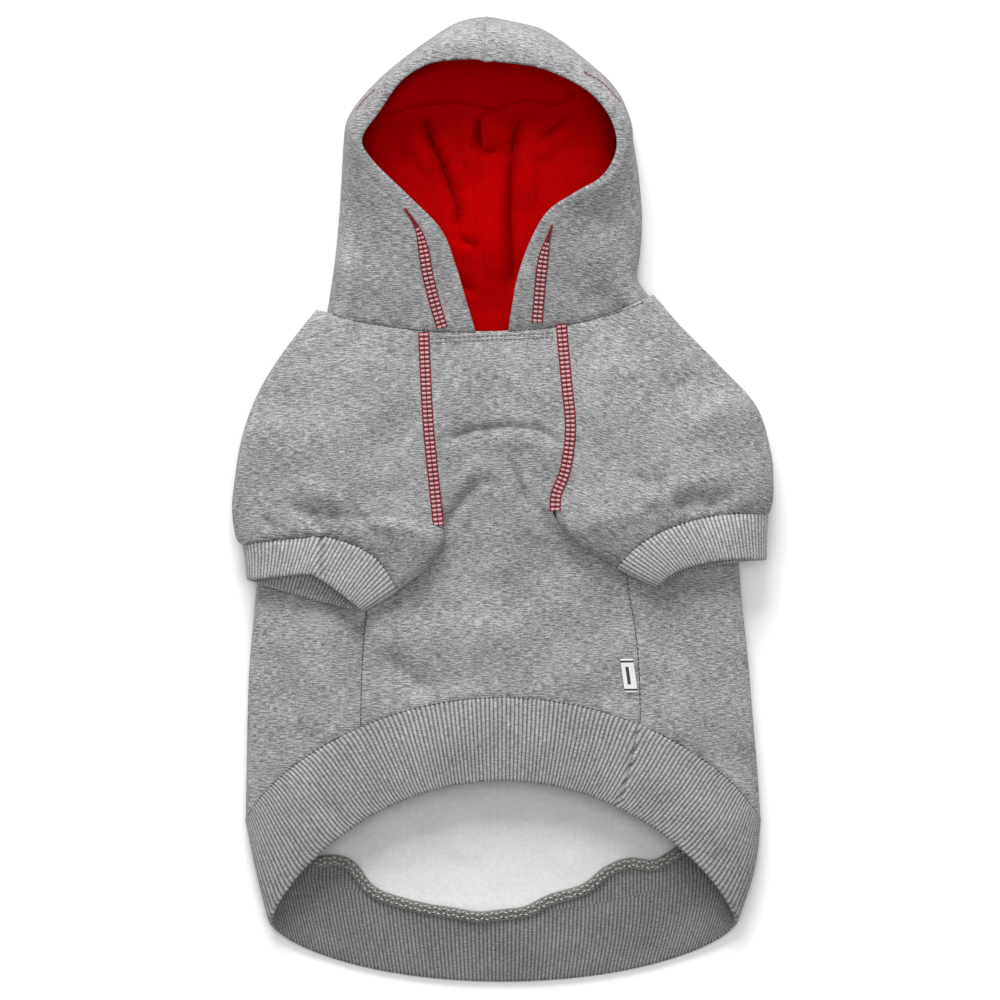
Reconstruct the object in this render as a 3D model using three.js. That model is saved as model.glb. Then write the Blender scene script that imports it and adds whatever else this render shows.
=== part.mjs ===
// A dog hoodie laid on its back, belly side up, with both sleeves folded forward and the hood open.
// Millimetres. X runs across the garment, +Y from the hem to the hood, +Z up from the floor.
// Pattern places are measured from the neck line: y = 0 at the neck, down the body is -Y.
import * as THREE from "three";

// Sizes of the garment as it lies
const CHEST_HALF = 125; // half of the flat chest width
const BODY_LENGTH = 244; // neck line to hem seam at the side fold
const BODY_HEIGHT = 21; // middle of the belly cloth above the floor, at the hem seam
const FOLD_HEIGHT = 6.5; // middle of the side folds above the floor
const HEM_RISE = 60.5; // how far the belly side of the hem seam is cut up
const HEM_DROP = 47; // how far the back side of the hem seam hangs down
const HEM_RIB = 40; // height of the ribbed hem band
const HOOD_HALF = 75; // half of the hood's width
const HOOD_LENGTH = 157.5; // neck line to the crown
const HOOD_HEIGHT = 44; // face opening's rim above the floor
const HOOD_SHIFT = -6; // the hood's middle lies this far beside the body's
const HOOD_SEAM = -2.5; // and its seam this far beside its own middle
const SLEEVE_HEIGHT = 38; // top of the sleeves above the floor
const LABEL_LENGTH = 17; // side label along the seam
const LABEL_WIDTH = 6.5; // side label across the seam

// Cloth
const FLEECE_WALL = 2; // body, sleeves and outer hood
const RIB_WALL = 2.4; // hem band and cuffs, rib folded double
const LINING_WALL = 1; // hood lining
const TAPE_WALL = 1.2; // overlocked seam allowance inside the hem
const TAPE_WIDTH = 6; // how wide that seam allowance is
const LABEL_WALL = 0.6;
const SEAM_GAP = 0.4; // between two pieces at a seam
const LINING_GAP = 0.4; // between the hood and its lining
const LAY_GAP = 1.4; // between a sleeve and the body that it lies on
const TAPE_LIFT = FLEECE_WALL / 2 + SEAM_GAP + TAPE_WALL / 2; // from the middle of the body's wall

// Meshes: how many steps each piece has
const STEPS = { back: 15, belly: 22, hem: 4, sleeve: 15, cuff: 3, hood: 14 };
const ACROSS = { belly: 12, sleeve: 12, cuff: 12 }; // and how many steps across
// Places of the mesh lines from the middle, or from a panel's edge, to a side fold, crowded near the fold.
const TOWARDS_FOLD = [0, 0.42, 0.72, 0.89, 0.97, 1];
const BACK_LINES = [-1, -0.985, -0.92, -0.8, -0.66, -0.44, -0.22, 0, 0.22, 0.44, 0.66, 0.8, 0.92, 0.985, 1];
const HOOD_TOP = [0, 0.22, 0.44, 0.64, 0.8, 0.91, 0.975, 1];
const HOOD_UNDER = [0.97, 0.87, 0.74, 0.66, 0.33, 0];

// The torso as a tube. down is a share of BODY_LENGTH below the neck line, left and right of CHEST_HALF,
// rise of HEM_RISE, drop of HEM_DROP, height of BODY_HEIGHT, tilt of CHEST_HALF.
const TORSO = [
  { down: -0.05, left: 0.69, right: 0.585, rise: -0.22, drop: 0.37, height: 1.0, tilt: 0.027 },
  { down: 0.05, left: 0.79, right: 0.7, rise: -0.12, drop: 0.37, height: 1.1, tilt: 0.02 },
  { down: 0.15, left: 0.89, right: 0.82, rise: -0.04, drop: 0.36, height: 1.25, tilt: 0.01 },
  { down: 0.25, left: 0.935, right: 0.9, rise: 0, drop: 0.36, height: 1.3, tilt: 0 },
  { down: 0.35, left: 0.955, right: 0.925, rise: 0, drop: 0.37, height: 1.2, tilt: 0 },
  { down: 0.45, left: 0.96, right: 0.935, rise: 0.03, drop: 0.4, height: 0.95, tilt: 0 },
  { down: 0.57, left: 0.98, right: 0.953, rise: 0.15, drop: 0.5, height: 0.9, tilt: 0 },
  { down: 0.68, left: 1.0, right: 0.976, rise: 0.4, drop: 0.6, height: 0.95, tilt: 0 },
  { down: 0.78, left: 1.008, right: 0.992, rise: 0.65, drop: 0.75, height: 1.0, tilt: 0 },
  { down: 0.89, left: 1.012, right: 1.01, rise: 0.85, drop: 0.9, height: 1.0, tilt: 0 },
  { down: 1.0, left: 1.016, right: 1.024, rise: 1, drop: 1, height: 1.0, tilt: 0 },
];
// The hem band below the torso. along, side, front and back are shares of HEM_RIB.
const HEM = [
  { along: 0, left: 1.016, right: 1.024, side: 0, front: 0, back: 0, height: 1.0 },
  { along: 0.5, left: 0.975, right: 1.0, side: 0.62, front: 0.5, back: 0.42, height: 1.06 },
  { along: 1, left: 0.925, right: 0.936, side: 1.25, front: 1.01, back: 0.84, height: 1.0 },
];
// Edges of the belly panel, and of the back panel's wrap onto the belly side, as shares of CHEST_HALF from
// the middle. Both share the side seam below the armpit. The back panel then turns out along the armhole.
const BELLY_EDGE = [
  { down: -0.05, left: 0.315, right: 0.24 },
  { down: 0.1, left: 0.3, right: 0.255 },
  { down: 0.2, left: 0.28, right: 0.27 },
  { down: 0.3, left: 0.26, right: 0.228 },
  { down: 0.385, left: 0.238, right: 0.212 },
  { down: 0.44, left: 0.3, right: 0.32 },
  { down: 0.5, left: 0.45, right: 0.43 },
  { down: 0.575, left: 0.525, right: 0.487 },
  { down: 0.7, left: 0.545, right: 0.53 },
  { down: 0.85, left: 0.557, right: 0.545 },
  { down: 1.0, left: 0.562, right: 0.55 },
];
const BACK_EDGE = [
  { down: -0.05, left: 0.63, right: 0.52 },
  { down: 0.05, left: 0.71, right: 0.62 },
  { down: 0.15, left: 0.8, right: 0.73 },
  { down: 0.25, left: 0.855, right: 0.82 },
  { down: 0.34, left: 0.855, right: 0.82 },
  { down: 0.4, left: 0.72, right: 0.68 },
  { down: 0.44, left: 0.4, right: 0.4 },
  { down: 0.5, left: 0.46, right: 0.44 },
  { down: 0.575, left: 0.535, right: 0.497 },
  { down: 0.7, left: 0.555, right: 0.54 },
  { down: 0.85, left: 0.567, right: 0.555 },
  { down: 1.0, left: 0.572, right: 0.56 },
];
// One row for each line across a sleeve, from the neck to the cuff. inX, outX and endX are shares of
// CHEST_HALF from the middle, inDown, outDown and endDown of BODY_LENGTH. bow is how far the line's middle is
// raised, a share of BODY_LENGTH, peak of SLEEVE_HEIGHT, closed is 1 where the sleeve is a tube of its own.
const SLEEVES = {
  left: [
    { inX: 0.32, inDown: 0.006, outX: 0.735, outDown: -0.035, endX: 0.64, endDown: -0.03,
      bow: -0.006, under: 0, peak: 0.66, closed: 0 },
    { inX: 0.309, inDown: 0.09, outX: 0.855, outDown: 0.04, endX: 0.72, endDown: 0.05,
      bow: 0, under: 0, peak: 0.78, closed: 0 },
    { inX: 0.294, inDown: 0.17, outX: 0.965, outDown: 0.13, endX: 0.8, endDown: 0.14,
      bow: 0, under: 0, peak: 0.9, closed: 0 },
    { inX: 0.278, inDown: 0.25, outX: 1.03, outDown: 0.22, endX: 0.855, endDown: 0.24,
      bow: 0, under: 0, peak: 0.98, closed: 0 },
    { inX: 0.26, inDown: 0.33, outX: 1.06, outDown: 0.31, endX: 0.855, endDown: 0.33,
      bow: 0, under: 0, peak: 1.0, closed: 0 },
    { inX: 0.246, inDown: 0.39, outX: 1.07, outDown: 0.365, endX: 0.72, endDown: 0.4,
      bow: 0.005, under: 0, peak: 1.02, closed: 0.5 },
    { inX: 0.24, inDown: 0.44, outX: 1.063, outDown: 0.405, endX: 0.4, endDown: 0.44,
      bow: 0.03, under: 0.005, peak: 1.03, closed: 1 },
    { inX: 0.315, inDown: 0.49, outX: 1.05, outDown: 0.43, endX: 0.33, endDown: 0.49,
      bow: 0.054, under: 0.012, peak: 0.98, closed: 1 },
    { inX: 0.42, inDown: 0.53, outX: 1.025, outDown: 0.438, endX: 0.425, endDown: 0.53,
      bow: 0.066, under: 0.02, peak: 0.9, closed: 1 },
  ],
  right: [
    { inX: 0.246, inDown: -0.004, outX: 0.6, outDown: -0.058, endX: 0.53, endDown: -0.05,
      bow: -0.006, under: 0, peak: 0.66, closed: 0 },
    { inX: 0.26, inDown: 0.08, outX: 0.735, outDown: 0.01, endX: 0.62, endDown: 0.04,
      bow: 0, under: 0, peak: 0.78, closed: 0 },
    { inX: 0.273, inDown: 0.16, outX: 0.87, outDown: 0.08, endX: 0.73, endDown: 0.12,
      bow: 0, under: 0, peak: 0.9, closed: 0 },
    { inX: 0.272, inDown: 0.24, outX: 1.01, outDown: 0.16, endX: 0.82, endDown: 0.22,
      bow: 0, under: 0, peak: 0.98, closed: 0 },
    { inX: 0.236, inDown: 0.32, outX: 1.065, outDown: 0.25, endX: 0.82, endDown: 0.32,
      bow: 0, under: 0, peak: 1.0, closed: 0 },
    { inX: 0.222, inDown: 0.375, outX: 1.076, outDown: 0.31, endX: 0.68, endDown: 0.4,
      bow: 0.005, under: 0, peak: 1.02, closed: 0.5 },
    { inX: 0.27, inDown: 0.42, outX: 1.075, outDown: 0.345, endX: 0.4, endDown: 0.44,
      bow: 0.022, under: 0.01, peak: 1.02, closed: 1 },
    { inX: 0.36, inDown: 0.455, outX: 1.067, outDown: 0.365, endX: 0.37, endDown: 0.458,
      bow: 0.034, under: 0.02, peak: 0.96, closed: 1 },
    { inX: 0.465, inDown: 0.483, outX: 1.053, outDown: 0.379, endX: 0.47, endDown: 0.484,
      bow: 0.042, under: 0.03, peak: 0.88, closed: 1 },
  ],
};
// Cuffs, from the cuff seam to the rim: the same columns, with a bow of its own for the lower layer.
const CUFFS = {
  left: [
    { inX: 0.427, inDown: 0.534, outX: 1.022, outDown: 0.442, bow: 0.066, under: 0.02, peak: 0.9 },
    { inX: 0.488, inDown: 0.55, outX: 1.015, outDown: 0.472, bow: 0.058, under: 0.01, peak: 0.86 },
    { inX: 0.552, inDown: 0.571, outX: 1.01, outDown: 0.508, bow: 0.047, under: -0.004, peak: 0.84 },
  ],
  right: [
    { inX: 0.473, inDown: 0.488, outX: 1.05, outDown: 0.383, bow: 0.042, under: 0.03, peak: 0.88 },
    { inX: 0.545, inDown: 0.505, outX: 1.048, outDown: 0.42, bow: 0.034, under: 0.026, peak: 0.86 },
    { inX: 0.614, inDown: 0.52, outX: 1.046, outDown: 0.467, bow: 0.024, under: 0.014, peak: 0.82 },
  ],
};
// One row for each line of the hood, from the throat over the side to the crown: the rim of the face opening,
// the outline and the seam down the back. x shares of HOOD_HALF from the hood's middle, y of HOOD_LENGTH above
// the neck line, lift of HOOD_HEIGHT.
const HOODS = {
  left: [
    { rimX: 0.107, rimY: 0.0, outX: 1.067, outY: 0.064, backY: -0.03, lift: 0.5 },
    { rimX: 0.175, rimY: 0.105, outX: 1.035, outY: 0.16, backY: 0.07, lift: 0.6 },
    { rimX: 0.24, rimY: 0.205, outX: 1.01, outY: 0.255, backY: 0.2, lift: 0.68 },
    { rimX: 0.335, rimY: 0.312, outX: 0.99, outY: 0.365, backY: 0.34, lift: 0.76 },
    { rimX: 0.545, rimY: 0.415, outX: 0.975, outY: 0.475, backY: 0.44, lift: 0.84 },
    { rimX: 0.78, rimY: 0.525, outX: 0.962, outY: 0.585, backY: 0.53, lift: 0.92 },
    { rimX: 0.858, rimY: 0.6, outX: 0.935, outY: 0.665, backY: 0.61, lift: 0.97 },
    { rimX: 0.735, rimY: 0.692, outX: 0.82, outY: 0.745, backY: 0.68, lift: 1.0 },
    { rimX: 0.59, rimY: 0.787, outX: 0.645, outY: 0.825, backY: 0.74, lift: 1.0 },
    { rimX: 0.41, rimY: 0.84, outX: 0.43, outY: 0.903, backY: 0.78, lift: 0.98 },
    { rimX: 0.225, rimY: 0.854, outX: 0.225, outY: 0.965, backY: 0.81, lift: 0.95 },
    { rimX: 0, rimY: 0.857, outX: 0, outY: 1.0, backY: 0.83, lift: 0.93 },
  ],
  right: [
    { rimX: 0.133, rimY: 0.006, outX: 1.06, outY: 0.098, backY: -0.03, lift: 0.5 },
    { rimX: 0.16, rimY: 0.086, outX: 0.973, outY: 0.16, backY: 0.07, lift: 0.6 },
    { rimX: 0.193, rimY: 0.165, outX: 0.987, outY: 0.24, backY: 0.2, lift: 0.68 },
    { rimX: 0.267, rimY: 0.264, outX: 1.0, outY: 0.343, backY: 0.34, lift: 0.76 },
    { rimX: 0.387, rimY: 0.365, outX: 0.987, outY: 0.445, backY: 0.44, lift: 0.84 },
    { rimX: 0.567, rimY: 0.425, outX: 0.967, outY: 0.525, backY: 0.53, lift: 0.9 },
    { rimX: 0.753, rimY: 0.479, outX: 0.94, outY: 0.6, backY: 0.61, lift: 0.95 },
    { rimX: 0.85, rimY: 0.57, outX: 0.92, outY: 0.667, backY: 0.68, lift: 0.99 },
    { rimX: 0.8, rimY: 0.673, outX: 0.833, outY: 0.756, backY: 0.74, lift: 1.0 },
    { rimX: 0.63, rimY: 0.762, outX: 0.667, outY: 0.835, backY: 0.78, lift: 1.0 },
    { rimX: 0.333, rimY: 0.828, outX: 0.36, outY: 0.943, backY: 0.81, lift: 0.97 },
    { rimX: 0, rimY: 0.857, outX: 0, outY: 1.0, backY: 0.83, lift: 0.93 },
  ],
};
// Folds: x and down place the middle (shares of CHEST_HALF and BODY_LENGTH), turn is the ridge's direction
// in degrees from +X, length and width are shares of CHEST_HALF, rise of BODY_HEIGHT, negative for a valley.
const CHEST_FOLDS = [
  { x: 0.02, down: 0.22, turn: 5, length: 0.3, width: 0.1, rise: 0.18 },
  { x: -0.1, down: 0.31, turn: 42, length: 0.24, width: 0.06, rise: -0.2 },
  { x: 0.1, down: 0.33, turn: -62, length: 0.2, width: 0.06, rise: -0.18 },
  { x: 0.2, down: 0.27, turn: -40, length: 0.16, width: 0.07, rise: 0.12 },
  { x: -0.36, down: 0.72, turn: -38, length: 0.26, width: 0.08, rise: -0.14 },
  { x: 0.3, down: 0.55, turn: 50, length: 0.26, width: 0.08, rise: 0.1 },
];
const SLEEVE_FOLDS = [
  { x: -0.6, down: 0.37, turn: -32, length: 0.26, width: 0.09, rise: 0.2 },
  { x: -0.72, down: 0.42, turn: -12, length: 0.28, width: 0.06, rise: -0.2 },
  { x: 0.62, down: 0.33, turn: 30, length: 0.26, width: 0.09, rise: 0.2 },
  { x: 0.66, down: 0.38, turn: 24, length: 0.26, width: 0.06, rise: -0.18 },
];
const LINING_FOLDS = [
  { x: -0.14, down: -0.3, turn: 84, length: 0.36, width: 0.05, rise: 0.14 },
  { x: 0.03, down: -0.28, turn: 96, length: 0.34, width: 0.06, rise: 0.17 },
  { x: -0.05, down: -0.47, turn: 2, length: 0.5, width: 0.05, rise: 0.2 },
];

const TOP_ROUND = 3.5; // how square the belly side's profile is
const FLOOR_FLAT = 0.68; // share of the half width that lies flat on the floor
const FLOOR_ROUND = 2.2; // how round the back turns up to the side folds beyond it
const SLEEVE_ROUND = 2.6; // how full the sleeves are
const HEM_CURVE = 0.75; // shape of the hem's curve across the belly
const BACK_CURVE = 0.63; // and across the back
const HOOD_BLEND = 3; // over what share of its lines the hood takes the neck's shape: one third

const clamp = (t) => Math.min(1, Math.max(0, t));
const mix = (a, b, t) => a + (b - a) * t;
const smooth = (t) => clamp(t) ** 2 * (3 - 2 * clamp(t));
const dome = (s, power) => (1 - clamp(Math.abs(s)) ** power) ** (1 / power);

// Height of the middle of a wall that lies on the floor, s of the way to its fold.
function floorHeight(s, wall) {
  const turn = (Math.abs(s) - FLOOR_FLAT) / (1 - FLOOR_FLAT);
  return FOLD_HEIGHT - (FOLD_HEIGHT - wall / 2) * dome(Math.max(0, turn), FLOOR_ROUND);
}

// A column of a table at t, which counts rows, on a smooth curve through them.
function column(table, name, t) {
  const last = table.length - 1;
  const at = Math.min(last, Math.max(0, t));
  const i = Math.min(last - 1, Math.floor(at));
  const value = (k) => table[Math.min(last, Math.max(0, k))][name];
  const [a, b, c, d] = [value(i - 1), value(i), value(i + 1), value(i + 2)];
  const f = at - i;
  return b + 0.5 * f * (c - a + f * (2 * a - 5 * b + 4 * c - d + f * (3 * (b - c) + d - a)));
}

// All columns of a table at t.
function rowAt(table, t) {
  return Object.fromEntries(Object.keys(table[0]).map((name) => [name, column(table, name, t)]));
}

// Which row, with its fraction, has this value in a rising column.
function rowOf(table, name, value) {
  const i = table.findIndex((row) => row[name] >= value);
  if (i === 0) return 0;
  if (i < 0) return table.length - 1;
  return i - 1 + (value - table[i - 1][name]) / (table[i][name] - table[i - 1][name]);
}

const torsoRow = (down) => rowAt(TORSO, rowOf(TORSO, "down", down));

function edgeAt(table, down, side) {
  const share = column(table, side, rowOf(table, "down", down));
  return mirror(side) * CHEST_HALF * share;
}

// How far a set of folds lifts the cloth at x, y.
function foldLift(folds, x, y) {
  return folds.reduce((sum, fold) => {
    const dx = x - fold.x * CHEST_HALF;
    const dy = y + fold.down * BODY_LENGTH;
    const turn = THREE.MathUtils.degToRad(fold.turn);
    const along = (dx * Math.cos(turn) + dy * Math.sin(turn)) / (fold.length * CHEST_HALF);
    const beside = (dy * Math.cos(turn) - dx * Math.sin(turn)) / (fold.width * CHEST_HALF);
    return sum + fold.rise * BODY_HEIGHT * Math.exp(-along * along - beside * beside);
  }, 0);
}

// A point on the torso's tube. s runs from -1 at the left fold to 1 at the right fold, side is 1 on the
// belly side and -1 on the back.
function torsoPoint(row, sideY, s, side, wall = FLEECE_WALL) {
  const half = (s < 0 ? row.left : row.right) * CHEST_HALF;
  const bulge = 1 - s * s;
  const rise = row.rise * HEM_RISE * bulge ** HEM_CURVE;
  const drop = row.drop * HEM_DROP * bulge ** BACK_CURVE;
  const y = side > 0 ? rise : -drop;
  const top = FOLD_HEIGHT + (row.height * BODY_HEIGHT - FOLD_HEIGHT) * dome(s, TOP_ROUND);
  const height = side > 0 ? top : floorHeight(s, wall);
  return new THREE.Vector3(s * half, sideY + y + row.tilt * CHEST_HALF * s, height);
}

const torsoAt = (down, s, side) => torsoPoint(torsoRow(down), -down * BODY_LENGTH, s, side);
const shareOf = (x, row) => x / ((x < 0 ? row.left : row.right) * CHEST_HALF);

// Height of the belly side's cloth at x, y, apart from its folds.
function torsoTop(x, y) {
  let down = -y / BODY_LENGTH;
  for (let pass = 0; pass < 4; pass++) {
    const row = torsoRow(down);
    const s = Math.min(1, Math.abs(shareOf(x, row)));
    const rise = row.rise * HEM_RISE * (1 - s * s) ** HEM_CURVE + row.tilt * CHEST_HALF * Math.sign(x) * s;
    down = -(y - rise) / BODY_LENGTH;
  }
  const row = torsoRow(down);
  return FOLD_HEIGHT + (row.height * BODY_HEIGHT - FOLD_HEIGHT) * dome(shareOf(x, row), TOP_ROUND);
}

// A wall of cloth on a grid of points. lift moves it along the grid's normals, closed joins each row's ends,
// and extra gives more lift at each point. crown keeps the last row's wall in the plane of the seam over the
// head.
function cloth(grid, wall, { lift = 0, closed = false, crown = false, extra = () => 0 } = {}) {
  const rows = grid.length;
  const cols = grid[0].length;
  const wrap = (j) => (closed ? (j + cols) % cols : Math.min(cols - 1, Math.max(0, j)));
  const at = (i, j) => grid[Math.min(rows - 1, Math.max(0, i))][wrap(j)];
  const position = [];
  for (const face of [wall / 2, -wall / 2])
    for (let i = 0; i < rows; i++)
      for (let j = 0; j < cols; j++) {
        const across = at(i, j + 1).clone().sub(at(i, j - 1));
        const along = at(i + 1, j).clone().sub(at(i - 1, j));
        const normal = across.cross(along);
        if (crown && i === rows - 1) normal.x = 0;
        normal.normalize();
        const point = at(i, j).clone().addScaledVector(normal, lift + face);
        point.z += extra(point.x, point.y, i / (rows - 1), j / (cols - 1));
        position.push(point.x, point.y, point.z);
      }
  const index = [];
  const outer = (i, j) => i * cols + wrap(j);
  const inner = (i, j) => rows * cols + outer(i, j);
  const quad = (a, b, c, d) => index.push(a, b, c, a, c, d);
  const spans = closed ? cols : cols - 1;
  for (let i = 0; i < rows - 1; i++)
    for (let j = 0; j < spans; j++) {
      quad(outer(i, j), outer(i, j + 1), outer(i + 1, j + 1), outer(i + 1, j));
      quad(inner(i, j), inner(i + 1, j), inner(i + 1, j + 1), inner(i, j + 1));
    }
  for (let j = 0; j < spans; j++) {
    quad(outer(0, j), inner(0, j), inner(0, j + 1), outer(0, j + 1));
    quad(outer(rows - 1, j), outer(rows - 1, j + 1), inner(rows - 1, j + 1), inner(rows - 1, j));
  }
  if (!closed)
    for (let i = 0; i < rows - 1; i++) {
      quad(outer(i, 0), outer(i + 1, 0), inner(i + 1, 0), inner(i, 0));
      quad(outer(i, cols - 1), inner(i, cols - 1), inner(i + 1, cols - 1), outer(i + 1, cols - 1));
    }
  const geometry = new THREE.BufferGeometry();
  geometry.setAttribute("position", new THREE.Float32BufferAttribute(position, 3));
  geometry.setIndex(index);
  return outward(geometry);
}

// The same geometry with its faces pointing out.
function outward(geometry) {
  const p = geometry.attributes.position;
  const index = geometry.index.array;
  const [a, b, c] = [new THREE.Vector3(), new THREE.Vector3(), new THREE.Vector3()];
  let volume = 0;
  for (let i = 0; i < index.length; i += 3) {
    a.fromBufferAttribute(p, index[i]);
    b.fromBufferAttribute(p, index[i + 1]);
    c.fromBufferAttribute(p, index[i + 2]);
    volume += a.dot(b.cross(c));
  }
  if (volume < 0)
    for (let i = 0; i < index.length; i += 3) {
      [index[i], index[i + 1]] = [index[i + 1], index[i]];
    }
  geometry.computeVertexNormals();
  return geometry;
}

// Evenly counted steps from 0 to 1, and a share that crowds towards 1.
const steps = (count) => Array.from({ length: count + 1 }, (_, i) => i / count);
const towardsFold = (t) => Math.sin((t * Math.PI) / 2);
const mirror = (side) => (side === "left" ? -1 : 1);

// The mesh lines of the back panel's wrap from its edge to the side fold, as shares of the half width.
function wrapLines(down, side) {
  const edge = shareOf(edgeAt(BACK_EDGE, down, side), torsoRow(down));
  return TOWARDS_FOLD.map((t) => mix(edge, mirror(side), t));
}

// The mesh lines of the belly panel, from its left edge to its right.
function bellyLines(down) {
  const row = torsoRow(down);
  const [left, right] = ["left", "right"].map((side) => {
    return shareOf(edgeAt(BELLY_EDGE, down, side) - mirror(side) * SEAM_GAP, row);
  });
  return steps(ACROSS.belly).map((t) => mix(left, right, t));
}

const bodySteps = (count) => steps(count).map((v) => mix(TORSO[0].down, 1 - SEAM_GAP / 2 / BODY_LENGTH, v));

// The back panel: from one armhole or side seam round the fold, across the back and round the other fold.
function backPanel() {
  return bodySteps(STEPS.back).map((down) => [
    ...wrapLines(down, "left").map((s) => torsoAt(down, s, 1)),
    ...BACK_LINES.slice(1, -1).map((s) => torsoAt(down, s, -1)),
    ...wrapLines(down, "right").map((s) => torsoAt(down, s, 1)).reverse(),
  ]);
}

function bellyPanel() {
  return bodySteps(STEPS.belly).map((down) =>
    bellyLines(down).map((s) => {
      const point = torsoAt(down, s, 1);
      point.z += foldLift(CHEST_FOLDS, point.x, point.y);
      return point;
    }),
  );
}

// A closed loop of points round the body's lower end: over the belly side, then back under it.
function loop(pointAt) {
  const over = [...wrapLines(1, "left").reverse(), ...bellyLines(1), ...wrapLines(1, "right")];
  const under = BACK_LINES.slice(1, -1).reverse();
  return [...over.map((s) => pointAt(s, 1)), ...under.map((s) => pointAt(s, -1))];
}

// The hem band, from the hem seam to its edge.
function hemBand() {
  return steps(STEPS.hem).map((v) => {
    const row = rowAt(HEM, v * (HEM.length - 1));
    const rise = HEM_RISE + (row.side - row.front) * HEM_RIB;
    const drop = HEM_DROP - (row.side - row.back) * HEM_RIB;
    const shape = { ...row, rise: rise / HEM_RISE, drop: drop / HEM_DROP, tilt: 0 };
    const sideY = -BODY_LENGTH - row.side * HEM_RIB;
    const gap = (s) => SEAM_GAP * (1 - v) * (1 + 3 * s ** 8);
    return loop((s, side) => torsoPoint(shape, sideY - gap(s), s, side, RIB_WALL));
  });
}

// The seam allowance inside the hem: a ring that lies against the inner face, just above the seam.
function hemTape() {
  const start = 1 - (TAPE_WIDTH + SEAM_GAP) / BODY_LENGTH;
  return steps(2).map((v) => {
    const down = mix(start, 1 - SEAM_GAP / BODY_LENGTH, v);
    return loop((s, side) => {
      const point = torsoAt(down, s, side);
      if (side > 0) point.z += foldLift(CHEST_FOLDS, point.x, point.y);
      return point;
    });
  });
}

// The two layers of a line across a sleeve or cuff: points over the top from the inner end to the outer
// fold, and points under it back to the end.
function sleeveLine(row, sign, count, wall, underBow) {
  const point = (x, down) => new THREE.Vector2(sign * x * CHEST_HALF, -down * BODY_LENGTH);
  const start = point(row.inX, row.inDown);
  const fold = point(row.outX, row.outDown);
  const finish = point(row.endX ?? row.inX, row.endDown ?? row.inDown);
  const bowed = (a, b, s, bow) => {
    const p = a.clone().lerp(b, s);
    p.y += bow * BODY_LENGTH * (1 - Math.abs(2 * s - 1) ** 1.6);
    return p;
  };
  const stack = FLEECE_WALL / 2 + LAY_GAP + wall / 2;
  const resting = (p) => torsoTop(p.x, p.y) + stack + Math.max(0, foldLift(CHEST_FOLDS, p.x, p.y));
  const outZ = FOLD_HEIGHT * 2.1;
  const seamZ = torsoTop(start.x, start.y) + foldLift(CHEST_FOLDS, start.x, start.y);
  const foldZ = resting(start) + wall;
  const peak = row.peak * SLEEVE_HEIGHT;
  const closed = clamp(row.closed ?? 1);
  const over = steps(count).map((t) => {
    const s = mix(t, towardsFold(t), 0.75);
    const across = closed > 0.5 ? 0.5 - 0.5 * Math.cos(s * Math.PI) : s;
    const share = mix(s, across, closed * 0.4);
    const p = bowed(start, fold, share, row.bow);
    const open = mix(seamZ, peak, smooth(share * 2));
    const tube = foldZ + (peak - foldZ) * dome(1 - clamp(share * 2.2), SLEEVE_ROUND);
    const z = outZ + (mix(open, tube, closed) - outZ) * dome(share, SLEEVE_ROUND);
    const fade = smooth((1 - share) * 4) * smooth(share * 4);
    return new THREE.Vector3(p.x, p.y, z + foldLift(SLEEVE_FOLDS, p.x, p.y) * fade);
  });
  const under = steps(count).slice(1).map((t) => {
    const p = bowed(fold, finish, t, underBow);
    const rise = mix(outZ, Math.max(resting(finish), outZ), smooth(t * 3));
    return new THREE.Vector3(p.x, p.y, Math.max(rise, resting(p)));
  });
  return { over, under };
}

function sleeve(side) {
  const table = SLEEVES[side];
  return steps(STEPS.sleeve).map((v) => {
    const row = rowAt(table, v * (table.length - 1));
    const { over, under } = sleeveLine(row, mirror(side), ACROSS.sleeve, FLEECE_WALL, row.under);
    return [...over, ...under];
  });
}

function cuff(side) {
  const table = CUFFS[side];
  return steps(STEPS.cuff).map((v) => {
    const row = rowAt(table, v * (table.length - 1));
    const { over, under } = sleeveLine(row, mirror(side), ACROSS.cuff, RIB_WALL, row.under);
    return [...over, ...under.slice(0, -1)];
  });
}

// Where each half's edge lies at the seam over the head and down the back.
const hoodSeam = (side) => HOOD_SHIFT + HOOD_SEAM + mirror(side) * SEAM_GAP * 0.7;

// A line of the hood's half: from the rim over the side to the outline, and under to the seam down the
// back.
function hoodLine(side, u) {
  const table = HOODS[side];
  const row = rowAt(table, u * (table.length - 1));
  const seam = hoodSeam(side);
  const place = (x, y) => new THREE.Vector2(HOOD_SHIFT + mirror(side) * x * HOOD_HALF, y * HOOD_LENGTH);
  const rim = place(row.rimX, row.rimY);
  const out = place(row.outX, row.outY);
  const back = new THREE.Vector2(seam, row.backY * HOOD_LENGTH);
  const crown = smooth(u * table.length - table.length + 1);
  rim.x = mix(rim.x, seam, crown);
  out.x = mix(out.x, seam, crown);
  const lift = row.lift * HOOD_HEIGHT;
  const over = HOOD_TOP.map((s) => {
    const p = rim.clone().lerp(out, s);
    return new THREE.Vector3(p.x, p.y, FOLD_HEIGHT + (lift - FOLD_HEIGHT) * dome(s, SLEEVE_ROUND));
  });
  const under = HOOD_UNDER.map((s) => {
    const p = back.clone().lerp(out, s);
    return new THREE.Vector3(p.x, p.y, floorHeight(s, FLEECE_WALL));
  });
  return [...over, ...under];
}

// The same line on the body's neck edge.
function neckLine(side) {
  const row = TORSO[0];
  const start = hoodLine(side, 0)[0].x;
  const from = shareOf(start, row);
  const middle = shareOf(hoodSeam(side), row);
  const over = HOOD_TOP.map((s) => torsoAt(row.down, mix(from, mirror(side), s), 1));
  const under = HOOD_UNDER.map((s) => torsoAt(row.down, mix(middle, mirror(side), s), -1));
  return [...over, ...under].map((p) => p.setY(p.y + SEAM_GAP));
}

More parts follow.
